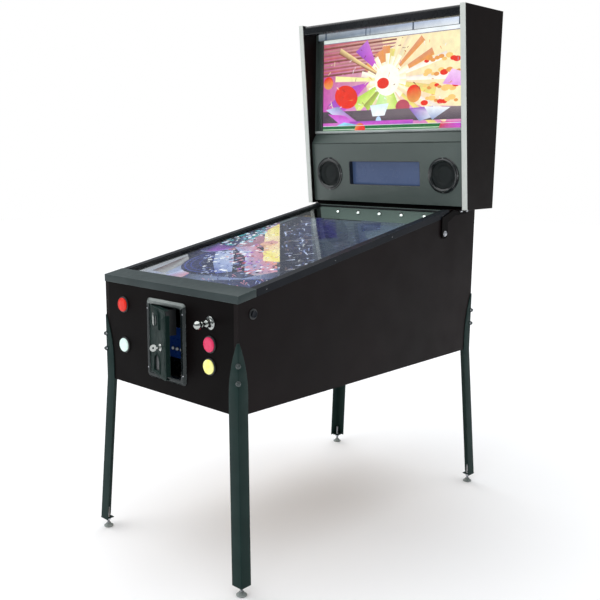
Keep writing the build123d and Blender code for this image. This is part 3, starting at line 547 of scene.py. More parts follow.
# The blue enamel panel glows faintly though it is no lamp: painted light.
SERVICE_BLUE = surface("blue_enamel_painted_glow", (0.008, 0.038, 0.2), (0.012, 0.05, 0.25), 30, (0.25, 0.4), 900,
    0.02, worn=(0.1, 0.16, 0.35), glow=0.1)
BOX_STEEL = surface("grey_sheet_steel", (0.2, 0.21, 0.22), (0.26, 0.27, 0.28), 14, (0.35, 0.5),
    metal=0.6, worn=(0.5, 0.5, 0.52))
DARK_SCREEN = surface("dark_screen_case", (0.012, 0.013, 0.016), None, 20, (0.3, 0.5), 1200, 0.02)
SCORE_BLUE = surface("score_glass", (0.036, 0.058, 0.12), (0.043, 0.068, 0.138), 7, (0.12, 0.2), 2000,
    0.004, glow=0.7, sheen_level=0.2)
PAD = surface("pale_glide_pad", (0.3, 0.33, 0.32), (0.2, 0.23, 0.22), 60, (0.4, 0.6), 900, 0.04,
    worn=(0.75, 0.76, 0.74))
# The service buttons and strips glow faintly though they are no lamps: painted light.
SOLDER_WHITE = surface("cream_plastic_painted_glow", (0.7, 0.74, 0.76), (0.6, 0.64, 0.68), 50, (0.3, 0.45), 900,
    0.02, glow=0.15)
CLEAR_GLASS = see_through("clear_glass", (0.97, 0.99, 0.985), 0.015, index=1.12)
LAMP_CLEAR = see_through("lamp_clear", (0.94, 0.97, 0.96), 0.04)
PLAYFIELD_PAINT = lit_picture("playfield_picture", 1.15)
BACKGLASS_PAINT = lit_picture("backglass_picture", 1.12)


def button_plastic(name, colour, second, glow):
    return surface(name, colour, second, 55, (0.14, 0.24), 800, 0.01, glow=glow, coat=0.25,
        sheen_level=0.2)


BUTTON_COLOURS = {
    "button_red": button_plastic("red_plastic", (0.60, 0.010, 0.004), (0.68, 0.022, 0.009), 0.3),
    "button_white": button_plastic("white_plastic", (0.70, 0.86, 0.80), (0.62, 0.8, 0.74), 0.3),
    "button_pink": button_plastic("pink_plastic", (0.58, 0.022, 0.09), (0.66, 0.045, 0.13), 0.35),
    "button_yellow": button_plastic("yellow_plastic", (0.88, 0.87, 0.22), (0.95, 0.93, 0.4), 0.25),
}


# ---- CAD pieces that keep their shape ----

SLOT_MATERIALS = {
    "black_board": SATIN_BLACK, "inner_board": BARE_BOARD, "leg_steel": LEG_STEEL,
    "bar_metal": BAR_METAL, "rail_metal": RAIL_METAL, "zinc_steel": ZINC, "chrome": CHROME,
    "clear_glass": CLEAR_GLASS, "screen_face": DARK_SCREEN, "picture_face": DARK_SCREEN,
    "score_face": SCORE_BLUE, "black_plastic": BLACK_PLASTIC, "grey_panel": GREY_PANEL,
    "pale_trim": PALE_TRIM, "lamp_clear": LAMP_CLEAR, "door_steel": DOOR_STEEL,
    "frame_steel": FRAME_STEEL, "service_blue": SERVICE_BLUE, "box_steel": BOX_STEEL, "pad": PAD,
}
for colour in ("red", "white", "pink", "yellow"):
    SLOT_MATERIALS[colour] = BUTTON_COLOURS["button_" + colour]
OWN_MATERIALS = {
    "head_side_left": BROWN_BLACK, "head_side_right": BROWN_BLACK, "head_top": BROWN_BLACK,
    "head_valance": VALANCE_BLACK, "head_hinge_arms": SATIN_BLACK, "flasher_panel": PANEL_PAINTED_GLOW,
    "cabinet_side_left": SIDE_BLACK_PAINTED_LIGHT, "cabinet_side_right": SIDE_BLACK_PAINTED_LIGHT,
    "cabinet_rear_shelf": SATIN_BLACK, "coin_lock_barrel": CHROME,
    "backglass_screen": DARK_SCREEN, "playfield_screen_case": DARK_SCREEN,
}
# The eased width of each piece's edges, in millimetres.
EASED = {
    1.2: ("cabinet_side_left", "cabinet_side_right", "head_side_left", "head_side_right",
          "head_top", "speaker_panel", "backglass_surround"),
    0.8: ("head_valance", "head_back_panel"),
    0.7: ("cabinet_front_panel", "cabinet_back_panel", "coin_door"),
    0.6: ("lockdown_bar", "legs", "flasher_panel", "head_hinge_arms"),
    0.5: ("side_rails",),
}
EDGES = {node: width for width, nodes in EASED.items() for node in nodes}
for node in NODES:
    finish = OWN_MATERIALS.get(node, SLOT_MATERIALS[SLOTS[node]])
    if node in EDGES:
        eased(node, finish, EDGES[node] * MM)
    else:
        dress(node, finish)


# ---- fastenings ----


LEG_BOLT_HEIGHTS = (0.680, 0.734)
LEG_BOLT_SEAT = 3.4 * MM


def hex_outline(across_flats):
    return arc((0, 0), across_flats / 2 / cos(pi / 6), 0, 300, 5)


def cap_bolt(shape, place, across_flats, rise, washer=0.0, material=0):
    """A hexagon head with a domed top on a washer. Local Z points out."""
    height = 0
    if washer:
        shape.lathe([(0, 0), (washer, 0), (washer, 1.2), (washer - 0.6, 1.8), (0, 1.8)], place,
            material, 32)
        height = 1.8
    outline = hex_outline(across_flats)
    shape.slab(outline, height, height + rise * 0.5, place, material, 0.4)
    flank = across_flats * 0.46
    dome = [(flank, height + rise * 0.5)]
    for step in range(9):
        angle = radians(90 * step / 8)
        dome.append((flank * cos(angle), height + rise * (0.5 + 0.5 * sin(angle))))
    shape.lathe(dome, place, material, 32)


def cross_screw(shape, place, radius, material=0, slot_material=1):
    """A pan head screw with a cross recess drawn as two dark bars."""
    profile = [(radius, 0), (radius, radius * 0.18)]
    for step in range(7):
        angle = radians(15 + 75 * step / 6)
        profile.append((radius * cos(angle), radius * 0.1 + radius * 0.42 * sin(angle)))
    profile.append((0, radius * 0.52))
    shape.lathe(profile, place, material, 24)
    top = radius * 0.5
    long, narrow = radius * 0.55, radius * 0.11
    for size_x, size_y in ((long, narrow), (narrow, long)):
        shape.box((-size_x, -size_y, top - radius * 0.1), (size_x, size_y, top + radius * 0.04), place,
            slot_material, 0.05)


def leg_bolts():
    """Two capped bolts through each corner, square to the leg's ridge."""
    shape = Shape()
    low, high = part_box("cabinet_side_left")[0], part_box("cabinet_side_right")[1]
    for x, sign in ((low.x, -1), (high.x, 1)):
        for y, end in ((low.y, -1), (high.y, 1)):
            for height in LEG_BOLT_HEIGHTS:
                out = Vector((sign, end, 0)).normalized()
                place = basis(UP.cross(out), UP, out, Vector((x, y, height)) + out * LEG_BOLT_SEAT)
                cap_bolt(shape, place, 12, 7, 8.5, material=1)
                shape.lathe([(4.8, -73.4), (4.8, -0.4)], place, 0, 24)
    hinge = Vector(JOINTS["head_fold"]["pos_m"])
    for x, sign in ((low.x, -1), (high.x, 1)):
        hole = facing_side(Vector((x, hinge.y, hinge.z)), sign)
        shape.lathe([(6, -26), (6, 7)], hole, 0, 32)
        shape.lathe([(0, -26), (10, -26), (10, -18)], hole, 0, 32)
        cap_bolt(shape, hole @ shifted(0, 0, 7), 15, 5.6, 11)
    shape.piece("corner_and_pivot_bolts", "cabinet", "zinc_steel", [ZINC, DARK_ZINC], ["cabinet_bolts"])


leg_bolts()


def leveler(node):
    """A foot: pale glide pad, lock nut with chamfered corners and a threaded stud."""
    low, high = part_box(node)
    centre = (low + high) / 2
    place = Matrix.Translation((centre.x, centre.y, low.z))
    shape = Shape()
    pad, tall = (high.x - low.x) / 2 / MM, (high.z - low.z) / MM
    shape.lathe([(0, 0), (pad - 1.5, 0), (pad, 1.2), (pad, 4.2), (pad - 1, 5), (pad * 0.62, 8),
        (pad * 0.5, 13), (pad * 0.3, 14.5), (0, 14.5)], place, 0)
    shape.slab(hex_outline(15.6), 25.7, 33.6, place, 1, 0.7)
    stud = 4.8
    pitch = 1.5
    profile = [(0, 14), (stud, 14)]
    for turn in range(int((tall - 16) / pitch)):
        height = 15 + turn * pitch
        profile += [(stud - 0.7, height), (stud, height + pitch / 2)]
    profile += [(stud - 1.2, tall), (0, tall)]
    shape.lathe(profile, place, 1, 24)
    shape.piece(node + "_foot", node, "pad", [PAD, ZINC], [node])


for end in ("front", "rear"):
    for hand in ("left", "right"):
        leveler(f"leveler_{end}_{hand}")


# ---- buttons ----


def at_front(node):
    """A frame on the front panel's face, in line with a node."""
    centre = middle(node)
    return facing_front(Vector((centre.x, FRONT_Y, centre.z)))


def at_side(node, sign):
    """A frame on a cabinet side's outer face, in line with a node."""
    centre = middle(node)
    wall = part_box("cabinet_side_right")[1].x
    return facing_side(Vector((sign * wall, centre.y, centre.z)), sign)


def flat_ring(shape, outer, inner, thick, place, ease):
    """A flat ring with its outer edge eased."""
    circles = (arc((0, 0), radius, 0, 350, 35) for radius in (outer, inner))
    shape.frame_slab(*circles, 0, thick, place, 0, ease)


def dome(radius, base, rise, crown):
    """A moulded cap's profile: a straight skirt, a rounded rim and a shallow dome."""
    rim = 1.6
    profile = [(radius, base), (radius, base + rise - rim)]
    profile += [(radius - rim + r, base + rise - rim + z) for r, z in arc((0, 0), rim, 0, 70, 5)]
    edge, height = profile[-1]
    for step in range(1, 11):
        share = step / 10
        profile.append((edge * (1 - share), height + crown * (1 - (1 - share) ** 2)))
    return profile


def player_button(label):
    """A lit push button: cap, pressed ring mark and the stem that goes through the panel."""
    place = at_front(label)
    shape = Shape()
    radius = size(label).x / MM / 2
    shape.lathe([(0, 4.4)] + dome(radius, 4.4, 4.2, 1.5), place, 0, 64)
    ring = radius * 0.8
    shape.lathe([(ring + 0.5, 9), (ring + 0.4, 9.7), (ring, 9.95), (ring - 0.4, 9.8), (ring - 0.5, 9)],
        place, 0, 64)
    shape.lathe([(6, -30), (6, 4.6)], place, 1, 24)
    shape.piece(label + "_cap", label, SLOTS[label], [BUTTON_COLOURS[label], BLACK_PLASTIC], [label])


for label in BUTTON_COLOURS:
    player_button(label)


def flipper_button(label, sign):
    """A round flipper button with a dished cap."""
    place = at_side(label, sign)
    radius = size(label).y / MM / 2
    shape = Shape()
    top = 9.4
    dish = [(radius - 1.2, top), (radius * 0.6, top - 0.7), (0, top - 1.1)]
    shape.lathe([(0, 5.7), (radius, 5.7), (radius, top - 1.2)] + dish, place, 0, 48)
    shape.lathe([(3, -30), (3, 5.9)], place, 1, 24)
    materials = [RAIL_METAL, BLACK_PLASTIC]
    shape.piece(label + "_cap", label, SLOTS[label], materials, [label])


flipper_button("flipper_button_left", -1)
flipper_button("flipper_button_right", 1)


def button_bezels():
    """Each button's round bezel, with the nut, neck and switch behind the panel."""
    shape = Shape()
    panel = size("cabinet_front_panel").y / MM
    for label in BUTTON_COLOURS:
        place = at_front(label)
        inner, outer = size(label).x / MM / 2 + 0.35, 27.5
        rim = [(outer - 2.2 + r, 2.6 + z) for r, z in arc((0, 0), 2.2, 0, 90, 6)]
        well = [(inner + 0.4, 4.9), (inner, 4.5), (inner, 1.3), (6.3, 1.3), (6.3, -36)]
        shape.lathe([(14, 0), (outer, 0), (outer, 1.5)] + rim + well, place, 0, 64)
        shape.lathe([(14, 0), (14, -36), (6.3, -36)], place, 0, 32)
        flat_ring(shape, 21, 14, 7, place @ shifted(0, 0, -panel - 7), 0.8)
        shape.box((-10, -14, -65), (10, 14, -43), place, 0, 0.8)
        for across in (-5, 5):
            shape.box((across - 1.5, -0.4, -71), (across + 1.5, 0.4, -65), place, 1, 0.2)
    for label, sign in (("flipper_button_left", -1), ("flipper_button_right", 1)):
        place = at_side(label, sign)
        rim = [(14.9 + r, 2.4 + z) for r, z in arc((0, 0), 1.6, 0, 90, 5)]
        well = [(11.6, 3.9), (11.3, 3.5), (11.3, 1.3), (3.3, 1.3), (3.3, -30)]
        shape.lathe([(8, -30), (8, 0), (16.5, 0), (16.5, 2.4)] + rim + well, place, 0, 48)
        shape.lathe([(15, -25), (15, -18), (8, -18)], place, 0, 6)
    shape.piece("button_bezels", "cabinet", "black_plastic", [BLACK_PLASTIC, ZINC], ["button_housings"])


button_bezels()


# ---- plunger ----


def plunger():
    """The ball knob on its rod, and the guide the rod slides in."""
    place = at_front("plunger_rod")
    knob = Shape()
    tip, root = 66, 36
    profile = [(0, tip)]
    ball = 14
    for turn in range(12, 121, 12):
        profile.append((ball * sin(radians(turn)), tip - ball + ball * cos(radians(turn))))
    profile += [(9.4, 43), (7.6, 41), (7.2, 38.5), (8.4, 37.5), (8.4, root), (5, root)]
    knob.lathe(profile, place, 0, 64)
    knob.piece("plunger_ball_knob", "plunger", "chrome", [CHROME], ["plunger_knob"])
    base = Shape()
    base.lathe([(5.08, 20), (9.5, 20), (11, 18.6), (12.4, 8), (14, 5.6), (19, 4.4), (21, 3.2), (21, 0),
        (12, 0), (12, -22), (5.08, -22), (5.08, 20)], place, 0, 64)
    base.lathe([(17, -18), (17, -23), (5.1, -23)], place, 0, 6)
    base.lathe([(17, -18), (12, -18)], place, 0, 6)
    for turn in (90, 210, 330):
        spot = shifted(16.6 * cos(radians(turn)), 16.6 * sin(radians(turn)), 4.6)
        cross_screw(base, place @ spot, 2.4, 0, 1)
    base.piece("plunger_guide", "cabinet", "chrome", [CHROME, DARK_CHROME], ["plunger_housing"])


plunger()


def plunger_coil():
    """The spring, which closes up between the guide and the washer as the rod is pulled."""
    node = NODES["plunger_spring"]
    coil = in_scene("plunger_coil", node.data.copy())
    coil.matrix_world = node.matrix_world
    low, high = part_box("plunger_spring")
    centre = (low + high) / 2
    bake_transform(coil, "cabinet", "plunger", (centre.x, low.y, centre.z), (centre.x, high.y, centre.z))
    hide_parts("plunger_spring")


plunger_coil()


# ---- coin door ----

HINGE = Vector(JOINTS["coin_door_swing"]["pos_m"])
HINGE.z = 0
DOOR = Matrix.Translation(HINGE) @ Matrix.Rotation(-DOOR_AJAR, 4, "Z")
DOOR_SKIN = -3.5
DOOR_LOW, DOOR_HIGH = (corner.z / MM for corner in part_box("coin_door"))
DOOR_WIDTH = 154


def on_door(across, height):
    """A frame on the door's outer skin whose Z points out of the door."""
    return DOOR @ facing_front(Vector((across, DOOR_SKIN, height)) * MM)


def door_frame():
    """The door's frame: a rounded flange with a broad sloping edge, held by four bolts, its top in a paler
    steel as a painted highlight.
    """
    place = at_front("coin_door_frame")
    width, _, height = size("coin_door_frame") / MM
    outer = rounded_rectangle(width, height, 15, 8)
    inner = rounded_rectangle(160, 232, 6, 8)
    crest_out = rounded_rectangle(width - 14, height - 14, 11, 8)
    crest_in = rounded_rectangle(166, 238, 8, 8)
    throat = rounded_rectangle(166.6, 238.6, 3, 8)
    shape = Shape()
    rings = ((outer, 0), (outer, 2.2), (crest_out, 9.2), (crest_in, 10), (inner, 9), (inner, -10),
        (throat, -10), (throat, 0), (outer, 0))
    verts = [shape.ring([(x, y, out) for x, y in outline], place) for outline, out in rings]
    count = len(outer)
    for level, (lower, upper) in enumerate(zip(verts, verts[1:])):
        for step in range(count):
            after = (step + 1) % count
            # The outer edge and slope along the top take the paler steel: a painted highlight where light
            # from above falls.
            on_top = min(outer[step][1], outer[after][1]) > height / 2 - 12
            finish = 2 if level in (0, 1, 2) and on_top else 0
            shape.face((lower[step], lower[after], upper[after], upper[step]), finish)
    for sign, up in CORNERS:
        spot = shifted(sign * (width / 2 - 9.5), up * (height / 2 - 34), 7.8)
        shape.lathe([(0, 2.2), (2.2, 1.9), (3.8, 0.6), (4, -1)], place @ spot, 1, 24)
    pin = [(*HINGE.xy / MM, height) for height in (DOOR_LOW - 4, DOOR_HIGH + 4)]
    shape.tube(pin, 2, 1, 16)
    shape.piece("coin_door_surround", "cabinet", "frame_steel", [FRAME_STEEL, ZINC, TOP_HIGHLIGHT_STEEL],
        ["coin_door_frame"])


door_frame()


def arch(width, height):
    """An outline with a straight foot and a half-round top, about the middle of its foot."""
    radius = width / 2
    return [(-radius, 0), (radius, 0)] + arc((0, height - radius), radius, 0, 180, 16)


def grown(outline, amount):
    """An arch outline moved outwards all round, its foot downwards."""
    middle_y = max(y for _, y in outline) - max(x for x, _ in outline)
    moved = []
    for x, y in outline:
        if y <= 1e-9:
            moved.append((x + (amount if x > 0 else -amount), y - amount))
            continue
        offset = Vector((x, y - middle_y))
        offset = offset.normalized() * (offset.length + amount)
        moved.append((offset.x, offset.y + middle_y))
    return moved


def ridge(shape, outline, place, width, rise):
    """A raised rounded moulding along a closed outline."""
    points = [(x, y, rise - width / 2) for x, y in outline]
    shape.tube(points, width / 2, 0, 8, closed=True, place=place)


def door_details():
    """The door's pressed mouldings and rivets, the coin entry plate, and the lock with its key."""
    shape = Shape()
    centre = on_door(DOOR_WIDTH / 2 - 1, (DOOR_LOW + DOOR_HIGH) / 2)
    border = rounded_rectangle(DOOR_WIDTH - 17, DOOR_HIGH - DOOR_LOW - 15, 10, 8)
    ridge(shape, border, centre, 3.4, 1.2)
    entry = on_door(68, 804)
    ridge(shape, grown(arch(66, 67), 1.2), entry, 2.4, 1.4)
    chute = on_door(68, 661)
    ridge(shape, grown(arch(52, 55), 2.2), chute, 5, 3)
    ridge(shape, grown(arch(52, 55), 7.5), chute, 2.4, 1)
    for across in (16, 138):
        for height in (700, 759, 818):
            rivet = on_door(across, height)
            shape.lathe([(0, 1.3), (1.5, 1.1), (2.6, 0)], rivet, 0, 16)
    shape.piece("coin_door_pressings", "coin_door", "door_steel", [DOOR_STEEL])

    entry_plate = Shape()
    slot_left, slot_right = -17, -13
    entry_plate.slab(arch(66, 67), 0, 5.4, entry, 0, 2.2)
    for x_low, x_high in ((slot_left - 4, slot_left), (slot_right, slot_right + 4)):
        entry_plate.box((x_low, 9, 4.6), (x_high, 49, 7.4), entry, 1, 1.1)
    for y_low in (8, 46):
        entry_plate.box((slot_left - 4, y_low, 4.6), (slot_right + 4, y_low + 4, 7.4), entry, 1, 1.1)
    entry_plate.box((slot_left, 11, 4.9), (slot_right, 47, 5.7), entry, 2, 0.1)
    oval, inner_oval = (
        [(half * cos(step / 20 * pi), tall * sin(step / 20 * pi)) for step in range(40)]
        for half, tall in ((9.6, 19), (7.6, 16.8))
    )
    button_place = entry @ shifted(12, 29, 5.4)
    entry_plate.frame_slab(oval, inner_oval, 0, 2.4, button_place, 0, 0.8)
    entry_plate.slab(inner_oval, 0, 1.4, button_place, 2, 0.6)
    entry_plate.piece("coin_entry_bezel", "coin_door", "chrome", [DOOR_STEEL, CHROME, BLACK_PLASTIC],
        ["coin_entry_plate"])

    lock = on_door(105, middle("coin_lock_barrel").z / MM)
    barrel = Shape()
    barrel.lathe([(6.2, -20), (9.5, -20), (9.5, 0), (13, 0), (13, 1.6), (11.5, 2.8), (8.5, 3),
        (7.5, 2.2), (6.2, 2.2), (6.2, -20)], lock, 0, 48)
    barrel.lathe([(9.5, -7.5), (13.5, -7.5), (13.5, -3), (9.5, -3)], lock, 0, 6)
    barrel.piece("coin_lock_shell", "coin_door", "chrome", [CHROME], ["coin_lock_barrel"])

    key = Shape()
    key.lathe([(0, -20), (6, -20), (6, 1.6), (5.4, 2), (0, 2)], lock, 0, 40)
    key.box((-7, -54, -22.5), (7, 8, -20), lock, 1, 0.5)
    key.box((-1.1, -4, 1.5), (1.1, 4, 15), lock, 0, 0.3)
    blade = lock @ basis(UP, BACK, -RIGHT, Vector((0.9, 0, 25)) * MM)
    flat_ring(key, 11.5, 3.6, 1.9, blade, 0.5)
    key.piece("coin_lock_cylinder_key", "coin_lock_key", "chrome", [CHROME, ZINC], ["coin_lock_key"])


door_details()


def service_buttons():
    """What shows on the blue panel behind the door: four push buttons in their rings and seven blank strips.
    """
    shape = Shape()
    face = facing_front(Vector((0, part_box("service_panel")[0].y + 52 * MM, 0)))
    for step in range(4):
        spot = face @ shifted(-52 + step * 22, 716, 0)
        shape.lathe([(8, 0), (8, 1.6), (6.4, 2.2), (5.2, 2.2)], spot, 1, 32)
        shape.lathe([(4.8, 0), (4.8, 5), (4, 5.8), (0, 6)], spot, 0, 32)
    for step in range(7):
        x = 34 + (step % 2) * 18
        z = 700 + step * 8.5
        shape.box((x, z, 0), (x + 13, z + 2.6, 1), face, 0, 0.2)
    shape.piece("service_buttons", "cabinet", "service_blue", [SOLDER_WHITE, BLACK_PLASTIC])


service_buttons()

# ---- head ----


def speaker(sign, name):
    """A speaker's ring, perforated dome, screws and the dark cone behind the holes."""
    face, _, _ = plate("speaker_panel", HEAD_TILT)
    radius = 70
    across = sign * (size("speaker_grilles").x / MM / 2 - radius)
    up = (middle("speaker_grilles").z - face.translation.z) / sin(HEAD_TILT) / MM
    centre = face @ shifted(across, up, 0)
    shape = Shape()
    ring = [(54, 0), (radius, 0), (radius, 1.6), (radius - 1.4, 3.4)]
    ring += [(60 + r, 3.4 + z) for r, z in arc((0, 0), 4.4, 10, 170, 8)]
    ring += [(53.5, 3), (52.6, 0.4), (52.6, -6), (54, -6)]
    ring.append((54, 0))
    shape.lathe(ring, centre, 0, 96)
    for turn in (0, 90, 180, 270):
        spot = shifted(66 * cos(radians(turn)), 66 * sin(radians(turn)), 3.2)
        cross_screw(shape, centre @ spot, 2.6, 1, 2)
    cone = [(53, -6), (48, -8), (42, -7), (16, -22), (15, -20), (9, -15.5), (0, -14)]
    shape.lathe(cone, centre, 2, 64)
    shape.piece(name + "_ring", "head", "black_plastic", [GLOSS_BLACK, CHROME, BLACK_PLASTIC],
        ["speaker_grilles"] if sign > 0 else ())
    dome_shape = Shape()
    pitch, reach = 4.2, 53.2
    rows = int(reach / (pitch * 0.866)) + 1
    corners = {}

    def corner(x, y):
        key = (round(x, 2), round(y, 2))
        if key not in corners:
            rise = 4.4 * (1 - (x * x + y * y) / (reach * reach))
            corners[key] = dome_shape.ring([(x, y, max(rise, 0) - 0.4)], centre)[0]
        return corners[key]

    for row in range(-rows, rows + 1):
        for column in range(-rows, rows + 1):
            x = (column + (row % 2) / 2) * pitch
            y = row * pitch * 0.866
            if x * x + y * y > (reach - pitch * 0.5) ** 2:
                continue
            hexagon = arc((x, y), pitch / 2 / cos(pi / 6), 30, 330, 5)
            dome_shape.face([corner(*point) for point in hexagon])
    grille = dome_shape.piece(name + "_grille", "head", "black_plastic", [GRILLE_BLACK])
    wires = grille.modifiers.new("holes", "WIREFRAME")
    wires.thickness = 1.3 * MM
    wires.use_even_offset = False


GLOSS_BLACK = surface("gloss_black", (0.008, 0.011, 0.012), (0.012, 0.015, 0.016), 30, (0.1, 0.2), 900,
    0.01, worn=(0.1, 0.11, 0.11), coat=0.6)
speaker(-1, "speaker_left")
speaker(1, "speaker_right")


def score_window():
    """The dark reveal round the score display and the display's dot matrix."""
    face, _, _ = plate("score_display", HEAD_TILT)
    panel, _, _ = plate("speaker_panel", HEAD_TILT)
    face = face @ shifted(0, 0, -11)
    width, height = 358, 100.5
    shape = Shape()
    outer = rounded_rectangle(width - 0.4, height - 0.4, 7)
    inner = rounded_rectangle(width - 5, height - 5, 5)
    depth = (panel.translation - face.translation).dot(panel.col[2].xyz) / MM
    shape.frame_slab(outer, inner, 0.1, depth - 1, face, 0, 0)
    shape.piece("score_window_reveal", "head", "black_plastic", [GLOSS_BLACK])
    digits = Shape()
    columns, rows = 64, 16
    dot = 5.2
    for column in range(columns):
        for row in range(rows):
            x = (column - (columns - 1) / 2) * dot
            y = (row - (rows - 1) / 2) * dot
            side = dot * 0.36
            turns = ((-1, -1), (1, -1), (1, 1), (-1, 1))
            square = [(x + across * side, y + up * side, 0.25) for across, up in turns]
            digits.face(digits.ring(square, face))
    digits.piece("score_dot_matrix", "head", "score_face", [SCORE_DOT])


SCORE_DOT = surface("unlit_dots", (0.046, 0.072, 0.155), (0.056, 0.085, 0.175), 8, (0.2, 0.3), 900,
    0.002, glow=0.62)
score_window()


FLASHER_PITCH = 110


def flashers():
    """Five flasher lamps: a chrome seat, a ribbed clear lens and the bulb inside it."""
    out = Vector((0, -cos(DECK_TILT), -sin(DECK_TILT)))
    up = Vector((0, -sin(DECK_TILT), cos(DECK_TILT)))
    front = size("flasher_lamps").y / 2 / cos(DECK_TILT) - 10.6 * MM
    row = basis(RIGHT, up, out, middle("flasher_lamps") + out * front)
    row.translation.x = 0
    seats, lenses = Shape(), Shape()
    for step in range(-2, 3):
        place = row @ shifted(step * FLASHER_PITCH, 0, 0)
        seats.lathe([(6, -16), (6, 0), (11, 0), (11, 1.4), (9.4, 3), (8.2, 3), (7.6, 1.2), (2, 0.8),
            (0, 0.8)], place, 0, 48)
        bulb = [(0, 0.8), (3.1, 1), (4.1, 3.4), (2.9, 6.2), (0, 7.4)]
        seats.lathe(bulb, place, 1, 24)
        shell = [(7.9, 2.6), (7.9, 4.6), (7.2, 6.8), (5.4, 8.4), (2.8, 9.3), (0, 9.6)]
        inside = [(max(r - 0.9, 0), z - 0.9) for r, z in reversed(shell)]
        lenses.lathe(shell + inside + [shell[0]], place, 0, 14)
    seats.piece("flasher_seats", "cabinet", "chrome", [CHROME, LAMP_BULB])
    lenses.piece("flasher_lenses", "cabinet", "lamp_clear", [LAMP_CLEAR], ["flasher_lamps"], 12)


LAMP_BULB = surface("bulb_glass", (0.92, 0.96, 0.94), (0.82, 0.88, 0.86), 90, (0.1, 0.2), 900, 0.01,
    glow=3.0)
flashers()


CHANNEL_FOOT = 1448


def glass_and_channels():
    """The pane over the backglass, its pale lower channel and side channels."""
    half, top = size("backglass_surround").x / MM / 2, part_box("backglass_surround")[1].z / MM
    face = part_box("backglass_screen")[0].y / MM - 9
    foot = CHANNEL_FOOT
    shape = Shape()
    shape.box((-half + 1, face - 4.2, foot + 6), (half - 1, face - 1.2, top - 3), ease=0.3)
    shape.piece("backglass_pane", "head", "clear_glass", [CLEAR_GLASS])
    trim = Shape()
    for back, rise in ((4.6, 12), (0.4, 5)):
        trim.box((-half + 0.5, face - 6.6, foot + 0.4), (half - 0.5, face - back, foot + rise),
            ease=0.6)
    trim.piece("backglass_lift_channel", "head", "pale_trim", [CLOUDY_TRIM])
    sides = Shape()
    for sign in (-1, 1):
        near, far = sorted((sign * (half - 7), sign * (half - 0.5)))
        sides.box((near, face - 7, foot + 12), (far, face - 4.6, top - 3), ease=0.5)
    sides.piece("backglass_side_channels", "head", "grey_panel", [GREY_PANEL])


CLOUDY_TRIM = surface("cloudy_channel", (0.42, 0.48, 0.46), (0.56, 0.62, 0.6), 10, (0.12, 0.25), 700,
    0.01, worn=(0.85, 0.9, 0.88), worn_width=1.4, coat=0.5)
glass_and_channels()


def hinge_bolts():
    """Coach bolts that hold the head to its two hinge arms."""
    shape = Shape()
    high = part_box("head_hinge_arms")[1]
    pivot = JOINTS["head_fold"]["pos_m"][1]
    for sign in (-1, 1):
        for step in (88, 128):
            spot = (sign * (high.x - 17 * MM), pivot + step * MM, high.z - 4 * MM)
            place = Matrix.Translation(spot) @ Matrix.Rotation(pi, 4, "X")
            cap_bolt(shape, place, 11, 5, 8)
    shape.piece("hinge_arm_bolts", "head", "zinc_steel", [ZINC])


hinge_bolts()


def back_screws():
    """Screws round the edge of the two back panels."""
    groups = (("head_back_panel", "head", 7, 5), ("cabinet_back_panel", "cabinet", 6, 4))
    for node, body, across, upright in groups:
        low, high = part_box(node)
        margin = 9 * MM
        shape = Shape()
        places = []
        for step in range(across):
            x = low.x + margin + (high.x - low.x - 2 * margin) * step / (across - 1)
            places += [(x, low.z + margin), (x, high.z - margin)]
        for step in range(1, upright - 1):
            z = low.z + margin + (high.z - low.z - 2 * margin) * step / (upright - 1)
            places += [(low.x + margin, z), (high.x - margin, z)]
        for x, z in places:
            cross_screw(shape, facing_back(Vector((x, high.y, z))), 3.4)
        shape.piece(node + "_screws", body, "black_plastic", [DARK_CHROME, BLACK_PLASTIC])


back_screws()


def vent_mesh():
    """Dark mesh behind the vents of the two back panels."""
    head_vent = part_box("head_back_panel")[1].z / MM - 90
    for node, body, level, half in (("head_back_panel", "head", head_vent, 250),
                                    ("cabinet_back_panel", "cabinet", 1040, 210)):
        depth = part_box(node)[0].y / MM - 0.8
        shape = Shape()
        for x in range(-half, half, 5):
            shape.tube(((x, depth, level - 60), (x, depth, level + 60)), 0.5, 0, 5)
        for rise in range(-60, 61, 5):
            z = level + rise
            shape.tube(((-half, depth, z), (half, depth, z)), 0.5, 0, 5)
        shape.piece(node + "_mesh", body, "box_steel", [BOX_STEEL])


vent_mesh()


def inlet_screws():
    """The screws of the mains inlet's flange."""
    centre = middle("power_inlet")
    centre.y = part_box("power_inlet")[1].y
    shape = Shape()
    for sign, up in CORNERS:
        spot = centre + Vector((sign * 23, 0, up * 28)) * MM
        cross_screw(shape, facing_back(spot), 2)
    shape.piece("inlet_screws", "cabinet", "zinc_steel", [ZINC, BLACK_PLASTIC])


inlet_screws()


def rail_screws():
    """The screws along the outer faces of the side rails."""
    shape = Shape()
    rails, _, length = plate("side_rails", DECK_TILT)
    along, out = rails.col[1].xyz, rails.col[2].xyz
    for sign in (-1, 1):
        for share in (-0.46, -0.15, 0.15, 0.46):
            place = rails.translation + (along * (length * share) - out * 12) * MM
            place.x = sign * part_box("side_rails")[1].x
            face = basis(along * sign, out, RIGHT * sign, place)
            cross_screw(shape, face, 2.6)
    shape.piece("rail_screws", "cabinet", "rail_metal", [DARK_CHROME, BLACK_PLASTIC])


rail_screws()


# ---- pictures ----

LAYER_RISE = 0.004
BACKGLASS_SIZE, BACKGLASS_LEVEL = (698, 393), 1646.5


